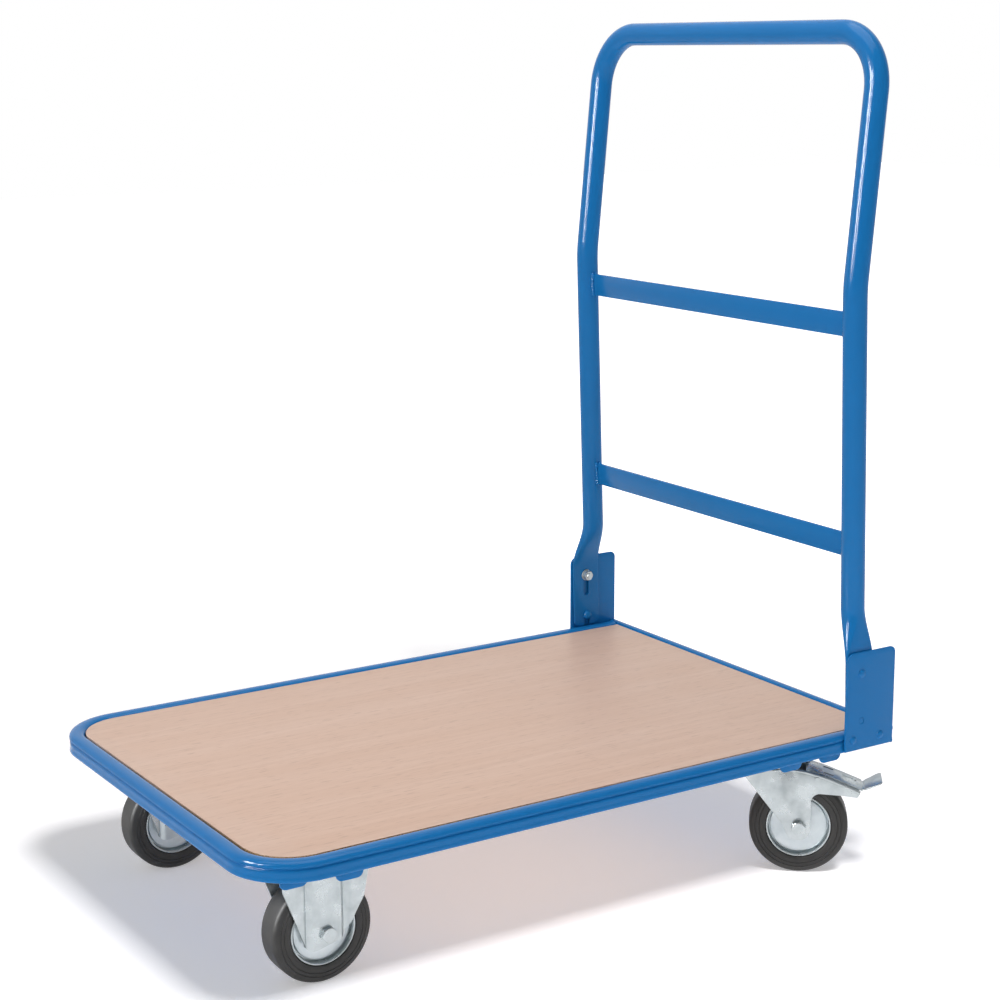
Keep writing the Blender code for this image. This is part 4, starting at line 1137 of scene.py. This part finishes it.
def disc_profile():
    half = [(0.0108, 0.0197), (0.0140, 0.0197), (0.0146, 0.0190), (0.0150, 0.0134), (0.0158, 0.0127),
            (0.0344, 0.0127), (0.0356, 0.0122), (0.0360, 0.0110), (0.0362, 0.0080), (0.0374, 0.0080),
            (0.0380, 0.0110), (0.0385, 0.0160)]
    half += [(0.0398 - 0.0013 * math.cos(math.radians(t)), 0.0162 + 0.0013 * math.sin(math.radians(t)))
             for t in (30, 60, 90, 120, 150)]
    half += [(0.0411, 0.0160), (0.0411, 0.0008)]
    return mirrored_profile(half)


# %% Making the wheels
ROLLED_EDGE = 0.038                # the disc is bright beyond this radius


def make_wheel(prefix, word):
    end = prefix.split("_")[0]
    body = end + "_wheel_" + word
    spin = joints[body + "_spin"]
    axis = Vector(spin["axis"])
    turn = Vector((0, 1, 0)).rotation_difference(axis).to_matrix().to_4x4()
    spot = Matrix.Translation(spin["pos_m"]) @ turn
    tyre = moved(turned(tyre_profile(), 96), spot)
    finish(prefix + "_solid_tyre", tyre, rubber, body, [prefix + "_tyre"], 28)
    disc = moved(turned(disc_profile(), 96), spot)
    disc = finish(prefix + "_wheel_disc", disc, disc_zinc, body, [prefix + "_rim"], 28)
    disc.data.materials.append(zinc)
    hub = Vector(spin["pos_m"])
    for face in disc.data.polygons:
        arm = face.center - hub
        face.material_index = 1 if (arm - arm.dot(axis) * axis).length > ROLLED_EDGE else 0


for word in SIDES:
    make_wheel("front_" + word, word)
    make_wheel("rear_" + word, word)
print("wheel radius", round(WHEEL_RADIUS, 4), "half width", round(TYRE_HALF, 4))


# %% [markdown]
# ## Casters
# Every caster is built about its own origin on the floor under its mounting axis, with +X along
# the trail, and then placed by one matrix. The fixed casters only shift; the swivel casters also
# turn about their king pin.

# %% Where the casters stand
def caster_place(end, word):
    """The matrix from a caster's own axes to the trolley's."""
    if end == "front":
        low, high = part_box("front_fork_" + word)
        return Matrix.Translation(((low.x + high.x) / 2, (low.y + high.y) / 2, 0))
    spot = joints["rear_swivel_" + word + "_turn"]["pos_m"]
    axle = joints["rear_wheel_" + word + "_spin"]["pos_m"]
    turn = math.atan2(axle[1] - spot[1], axle[0] - spot[0])
    return Matrix.Translation((spot[0], spot[1], 0)) @ Matrix.Rotation(turn, 4, "Z")


TRAIL = 0.038
LEG_INNER = 0.0212
LEG_SHEET = 0.0028
PLATE_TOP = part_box("swivel_plate_left")[1].z
PLATE_HALF = (0.0525, 0.0425)


# %% [markdown]
# ### Axle bolts
# The hexagon head is on the outer side of each caster, its nut on the inner side.

# %% Axle bolts and nuts
def make_axle(prefix, body, place, x):
    outer = LEG_INNER + LEG_SHEET + (0.0030 if "front" in prefix else 0.0008)
    head = moved(hexagon(0.0172, 0.0062, turn=12), Matrix.Translation((0, outer, 0)))
    shank = turned([(0, outer + 0.001), (0.0060, outer + 0.001), (0.0060, -outer - 0.004)]
                   + [(r, -a) for r, a in thread(0.0060, outer + 0.004, outer + 0.0102)], 32, closed=False)
    flip = Matrix.Diagonal((1, -1, 1, 1))
    spot = place @ Matrix.Translation((x, 0, WHEEL_RADIUS))
    bolt = moved(moved(join(head, shank), flip), spot)
    finish(prefix + "_hexagon_bolt", bolt, zinc, body, [prefix + "_axle_bolt"], 25)
    nut = cut(hexagon(0.0172, 0.0078, turn=24), pin(0.0061, -0.001, 0.02, "Y", (0, 0)))
    nut = moved(nut, spot @ Matrix.Translation((0, outer, 0)))
    finish(prefix + "_hexagon_nut", nut, zinc, body, [prefix + "_axle_nut"], 25)


for word in SIDES:
    make_axle("front_" + word, "chassis", caster_place("front", word), 0)
    make_axle("rear_" + word, "rear_swivel_" + word, caster_place("rear", word), TRAIL)

# %% [markdown]
# ### Fixed fork
# The fixed fork's legs are stiffened by upright flutes pressed into the sheet. A polyline with
# the flutes is pulled downwards as a curtain, the curtain is trimmed to the leg's outline by
# planes, and a solidify gives it the sheet's thickness. Cutting after corrugating leaves the wavy
# lower rim that a real pressing shows.

# %% Corrugated legs
FLUTES = [(-0.058, 0.0), (-0.0270, 0.0), (-0.0245, -0.0022), (-0.0225, 0.0004), (-0.0195, 0.0034),
          (-0.0160, 0.0038), (0.0120, 0.0038), (0.0150, 0.0054), (0.0175, 0.0046), (0.0205, 0.0002),
          (0.0230, -0.0026), (0.0265, -0.0016), (0.0310, 0.0016), (0.0350, 0.0016), (0.0390, 0.0004),
          (0.060, 0.0004)]
LEG_OUTLINE = [(-0.0526, 0.1575, 0.0), (-0.0526, 0.1210, 0.010), (-0.0235, 0.0455, 0.005),
               (-0.0130, 0.0455, 0.004), (0.0222, 0.0545, 0.006), (0.0490, 0.0965, 0.020),
               (0.0572, 0.1400, 0.010), (0.0572, 0.1575, 0.0)]


def smooth_polyline(points, rounds=2):
    """Cut the corners of an open polyline, ends kept, as often as asked."""
    for _ in range(rounds):
        finer = [points[0]]
        for (ax, ay), (bx, by) in zip(points, points[1:]):
            finer += [(ax * 0.75 + bx * 0.25, ay * 0.75 + by * 0.25),
                      (ax * 0.25 + bx * 0.75, ay * 0.25 + by * 0.75)]
        points = finer + [points[-1]]
    return points


def trim(bm, outline):
    """Keep what lies inside a nearly convex outline in X and Z, by a plane along each side."""
    middle = Vector((sum(x for x, z in outline) / len(outline), sum(z for x, z in outline) / len(outline)))
    for i, (x, z) in enumerate(outline):
        here, there = Vector(outline[i - 1]), Vector((x, z))
        if (there - here).length < 1e-6:
            continue
        normal = Vector((there.y - here.y, here.x - there.x))
        if normal.dot(middle - here) > 0:
            normal = -normal
        slice_plane(bm, (here.x, 0, here.y), (normal.x, 0, normal.y), clear=True)


def fluted_leg():
    """One leg on the +Y side, its flutes standing outwards."""
    bm = bmesh.new()
    points = [bm.verts.new((x, LEG_INNER + LEG_SHEET + out, 0.158)) for x, out in smooth_polyline(FLUTES)]
    edges = [bm.edges.new(pair) for pair in zip(points, points[1:])]
    steps = 12
    for _ in range(steps):
        made = bmesh.ops.extrude_edge_only(bm, edges=edges)["geom"]
        verts = [v for v in made if isinstance(v, bmesh.types.BMVert)]
        bmesh.ops.translate(bm, verts=verts, vec=(0, 0, -0.114 / steps))
        edges = [e for e in made if isinstance(e, bmesh.types.BMEdge)]
    trim(bm, rounded(LEG_OUTLINE, 5))
    bmesh.ops.recalc_face_normals(bm, faces=bm.faces)
    if sum(face.normal.y for face in bm.faces) < 0:
        bmesh.ops.reverse_faces(bm, faces=bm.faces)
    bmesh.ops.solidify(bm, geom=bm.faces[:], thickness=LEG_SHEET - 0.0003)
    return bm


# %% Fixed forks
PLATE_CORNER, PLATE_SHEET = 0.006, 0.003


def mounting_plate():
    """The plate that both kinds of caster are screwed on by."""
    x, y = PLATE_HALF
    outline = rounded([(-x, -y, PLATE_CORNER), (x, -y, PLATE_CORNER), (x, y, PLATE_CORNER),
                       (-x, y, PLATE_CORNER)])
    return slab(outline, PLATE_TOP - PLATE_SHEET, PLATE_TOP, "Z", 0.0006)


def make_fixed_fork(word):
    place = caster_place("front", word)
    plate = mounting_plate()
    far_leg = fluted_leg()
    near_leg = moved(fluted_leg(), Matrix.Diagonal((1, -1, 1, 1)))
    bm = moved(join(plate, near_leg, far_leg), place)
    finish("pressed_fork_" + word, bm, zinc, "chassis", ["front_fork_" + word], 40)


for word in SIDES:
    make_fixed_fork(word)

# %% [markdown]
# ### Swivel head
# The swivel caster's top plate has the upper race pressed into it; balls run between it and the
# crown of the fork. The bright ring between plate and fork is the rolled race, so plate, race and
# crown are turned with generous lips.

# %% Swivel plates, races and king pins
CROWN_TOP = 0.141
RACE = 0.033


def make_swivel_head(word):
    place = caster_place("rear", word)
    low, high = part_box("swivel_plate_" + word)
    centre = Matrix.Translation(((low.x + high.x) / 2, (low.y + high.y) / 2, 0))
    plate = mounting_plate()
    cup = turned([(0.0063, PLATE_TOP - 0.001), (0.0063, 0.1480), (0.0270, 0.1480), (0.0300, 0.1490),
                  (RACE - 0.0008, 0.1502), (RACE, 0.1512), (RACE + 0.0012, 0.1540),
                  (RACE + 0.0030, PLATE_TOP - 0.002)], 64, "Z")
    finish("swivel_top_plate_" + word, moved(join(plate, cup), centre), zinc, "chassis",
           ["swivel_plate_" + word])
    stem = turned([(0, PLATE_TOP), (0.0055, PLATE_TOP), (0.0060, PLATE_TOP - 0.0005),
                   (0.0060, CROWN_TOP - 0.0035), (0.0100, CROWN_TOP - 0.0035),
                   (0.0100, CROWN_TOP - 0.0055), (0.0085, CROWN_TOP - 0.0070),
                   (0, CROWN_TOP - 0.0070)], 36, "Z", closed=False)
    finish("king_pin_rivet_" + word, moved(stem, centre), zinc, "chassis", ["king_pin_" + word])
    low_z, high_z = CROWN_TOP + 0.0003, 0.1477
    ring = turned([(0.0230, low_z), (0.0305, low_z), (0.0322, low_z + 0.0010),
                   (0.0327, (low_z + high_z) / 2), (0.0322, high_z - 0.0010), (0.0305, high_z),
                   (0.0230, high_z)], 64, "Z")
    finish("rolled_race_" + word, moved(ring, place), zinc, "rear_swivel_" + word, ["ball_race_" + word],
           40)


for word in SIDES:
    make_swivel_head(word)

# %% [markdown]
# ### Swivel fork
# Each leg is a flat pressing with a raked front edge, a rounded end below the axle and an arm that
# reaches back over the tyre for the brake. A steep facet divides the flat of the leg from its
# front wing, which is folded outwards, and the arm's upper edge is rolled over.

# %% Swivel fork
CREASE_X = TRAIL - 0.019
FACET = 0.004                      # width of the steep strip between leg and wing
FACET_FOLD, WING_FOLD = math.radians(24), math.radians(5)
ARM_EDGE = [(TRAIL - 0.012, CROWN_TOP - 0.0022), (TRAIL + 0.006, 0.1372), (TRAIL + 0.019, 0.1335),
            (TRAIL + 0.032, 0.1298), (TRAIL + 0.045, 0.1247), (TRAIL + 0.060, 0.1185),
            (TRAIL + 0.0755, 0.1120)]


def swivel_leg():
    """One leg on the +Y side: outline, crease, folded wing and thickness; the rolled top edge is a separate
    piece.
    """
    outline = rounded([(-0.0315, CROWN_TOP - 0.0065, 0.003), (-0.0300, 0.1290, 0.004),
                       (TRAIL - 0.0205, 0.0670, 0.014), (TRAIL - 0.0110, 0.0455, 0.012),
                       (TRAIL + 0.0150, 0.0455, 0.014), (TRAIL + 0.0150, 0.1090, 0.011),
                       (TRAIL + 0.0520, 0.1073, 0.004), (TRAIL + 0.0726, 0.1052, 0.002),
                       (TRAIL + 0.0768, 0.1118, 0.002), (TRAIL + 0.0400, 0.1280, 0.020),
                       (TRAIL + 0.0190, 0.1345, 0.020), (TRAIL - 0.0120, CROWN_TOP - 0.0010, 0.006),
                       (-0.0240, CROWN_TOP - 0.0010, 0.003)], 8)
    bm = slab(outline, LEG_INNER, LEG_INNER + LEG_SHEET, "Y", 0.0005)
    for x in (CREASE_X, CREASE_X - FACET):
        slice_plane(bm, (x, 0, 0), (1, 0, 0))
    wing = [vert for vert in bm.verts if vert.co.x < CREASE_X - 1e-6]
    for vert in wing:
        back = CREASE_X - vert.co.x
        vert.co.y += min(back, FACET) * math.tan(FACET_FOLD) + max(back - FACET, 0) * math.tan(WING_FOLD)
    return bm


def rolled_edge():
    """The bead along the arm's top, as a tube through the edge's points."""
    points = smooth_polyline(ARM_EDGE, 2)
    rings = []
    for i, (x, z) in enumerate(points):
        before, after = points[max(i - 1, 0)], points[min(i + 1, len(points) - 1)]
        run = Vector((after[0] - before[0], 0, after[1] - before[1])).normalized()
        across = Vector((0, 1, 0))
        matrix = Matrix((across, run.cross(across), run)).transposed().to_4x4()
        spot = Matrix.Translation((x, LEG_INNER + LEG_SHEET - 0.0010, z))
        rings.append((spot @ matrix, stadium(0.0022, 0.0022)))
    return loft(rings, 16)


def make_swivel_fork(word):
    place = caster_place("rear", word)
    crown = turned([(0.0063, CROWN_TOP), (0.0063, CROWN_TOP - 0.003), (RACE - 0.002, CROWN_TOP - 0.003),
                    (RACE, CROWN_TOP - 0.0020), (RACE, CROWN_TOP - 0.0008), (RACE - 0.001, CROWN_TOP)],
                   64, "Z")
    neck = box((-0.012, -LEG_INNER - LEG_SHEET, CROWN_TOP - 0.0032),
               (TRAIL - 0.013, LEG_INNER + LEG_SHEET, CROWN_TOP - 0.0006), 0.0006)
    neck = cut(neck, pin(0.0063, 0.1, 0.2, "Z", (0, 0)))
    far_leg = join(swivel_leg(), rolled_edge())
    near_leg = moved(join(swivel_leg(), rolled_edge()), Matrix.Diagonal((1, -1, 1, 1)))
    bm = moved(join(crown, neck, near_leg, far_leg), place)
    finish("swivel_fork_pressing_" + word, bm, zinc, "rear_swivel_" + word, ["swivel_fork_" + word])


for word in SIDES:
    make_swivel_fork(word)

# %% [markdown]
# ### Brake pedal
# The pedal is a channel pressed from sheet: a top with a window and slots, two cheeks that hang
# on the pin, and a wider thumb tab bent up at the end. Window and slots are cut with the exact
# boolean, and a thin bar that bridges the bend into the tab is added as a second slab.

# %% Brake pedal
PEDAL_SHEET = 0.0020
PEDAL_HALF = 0.0196
PEDAL_LINE = [(0.008, 0.1343), (0.0120, 0.1368), (0.0170, 0.1372), (0.0300, 0.1336), (0.0450, 0.1285),
              (0.0620, 0.1217), (0.0790, 0.1149)]
TAB_START, TAB_END = (0.0812, 0.1149), (0.1030, 0.1258)


def pedal_strip(line, half_width, sheet):
    """A strip of sheet that follows a side-view line, across the caster."""
    smooth = smooth_polyline([(TRAIL + x, z) for x, z in line], 2)
    under = [(x, z - sheet) for x, z in reversed(smooth)]
    return slab(smooth + under, -half_width, half_width, "Y", 0.0005)


def thumb_tab():
    """The upturned plate at the end, with rounded outer corners."""
    run = Vector((TAB_END[0] - TAB_START[0], 0, TAB_END[1] - TAB_START[1]))
    outline = rounded([(0, -0.0170, 0.002), (run.length, -0.0215, 0.005), (run.length, 0.0215, 0.005),
                       (0, 0.0170, 0.002)], 8)
    bm = slab(outline, -PEDAL_SHEET, 0, "Z", 0.0006)
    tilt = Matrix.Rotation(-math.atan2(run.z, run.x), 4, "Y")
    return moved(bm, Matrix.Translation((TRAIL + TAB_START[0], 0, TAB_START[1])) @ tilt)


def pedal_opening(start, end, y, half, corner, top):
    """A tool for a window or slot, from start to end behind the axle."""
    outline = rounded([(TRAIL + start, y - half, corner), (TRAIL + end, y - half, corner),
                       (TRAIL + end, y + half, corner), (TRAIL + start, y + half, corner)])
    return slab(outline, 0.105, top, "Z")


def make_pedal(word):
    place = caster_place("rear", word)
    top = pedal_strip(PEDAL_LINE, PEDAL_HALF, PEDAL_SHEET)
    cutters = [pedal_opening(0.054, 0.0715, 0, 0.0095, 0.002, 0.140)]
    for y in (-0.0115, 0.0115):
        cutters.append(pedal_opening(0.030, 0.043, y, 0.0022, 0.001, 0.145))
    top = cut(top, *cutters)
    parts = [top, thumb_tab()]
    lip = box((TRAIL + 0.0775, -0.0150, 0.1131), (TRAIL + 0.0825, 0.0150, 0.1146), 0.0004)
    parts.append(lip)
    for cheek_side in SIDES.values():
        cheek = rounded([(TRAIL + 0.0095, 0.1335, 0.001), (TRAIL + 0.0180, 0.1355, 0.004),
                         (TRAIL + 0.045, 0.1272, 0.004), (TRAIL + 0.076, 0.1150, 0.001),
                         (TRAIL + 0.071, 0.1098, 0.002), (TRAIL + 0.040, 0.1180, 0.004),
                         (TRAIL + 0.022, 0.1240, 0.003), (TRAIL + 0.0105, 0.1262, 0.002)], 4)
        wall = sorted((cheek_side * PEDAL_HALF, cheek_side * (PEDAL_HALF - PEDAL_SHEET)))
        parts.append(slab(cheek, *wall, "Y", 0.0004))
    bm = moved(join(*parts), place)
    finish("pressed_brake_pedal_" + word, bm, zinc, "brake_" + word, ["brake_pedal_" + word],
           25)


for word in SIDES:
    make_pedal(word)

# %% [markdown]
# ### Mounting screws
# Four hexagon screws with washers hold every caster to its cross member. They are small and
# mostly hidden, but they are there when the trolley is seen from below.

# %% Mounting screws
SCREW_SPOTS = [(x, y) for x in (-0.0425, 0.0425) for y in (-0.0345, 0.0345)]


def make_screws(end, word):
    node = "front_fork_" + word if end == "front" else "swivel_plate_" + word
    low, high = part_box(node)
    centre = (low + high) / 2
    parts = []
    for x, y in SCREW_SPOTS:
        spot = Matrix.Translation((centre.x + x, centre.y + y, PLATE_TOP - 0.0030))
        down = Matrix.Rotation(-math.pi / 2, 4, "X")
        parts.append(moved(hexagon(0.010, 0.0045), spot @ down))
        parts.append(moved(turned([(0, 0.0002), (0.0068, 0.0002), (0.0068, 0.0012), (0, 0.0012)], 28,
                                  closed=False), spot @ down))
    finish("mounting_screws_" + end + "_" + word, join(*parts), zinc, "chassis", [], 25)


for word in SIDES:
    for end in ("front", "rear"):
        make_screws(end, word)

# %% [markdown]
# ## Pieces kept from the frame
# The bearings, brake pins and brake shoes already have the right shape and hardly show, so they
# stay and only get a finish.

# %% Finishes for the kept nodes
for word in SIDES:
    kept = {"front_" + word + "_bearing": nylon, "rear_" + word + "_bearing": nylon,
            "brake_pin_" + word: zinc, "brake_shoe_" + word: nylon}
    for node, material in kept.items():
        slots = frame["nodes"][node].material_slots
        for slot in slots:
            slot.material = material
shown = [o for o in bpy.data.objects if o.type == "MESH" and not o.hide_render]
print("meshes shown:", len(shown))

# %% [markdown]
# ## Sizes, and the end
# The looks must not outgrow the engineering model, so both boxes are printed, one under the other.

# %% Sizes
bpy.context.view_layer.update()
made_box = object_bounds()
for label, (low, high) in (("cad", cad_box), ("visual", made_box)):
    print(label, [round(v, 4) for v in low], [round(v, 4) for v in high])
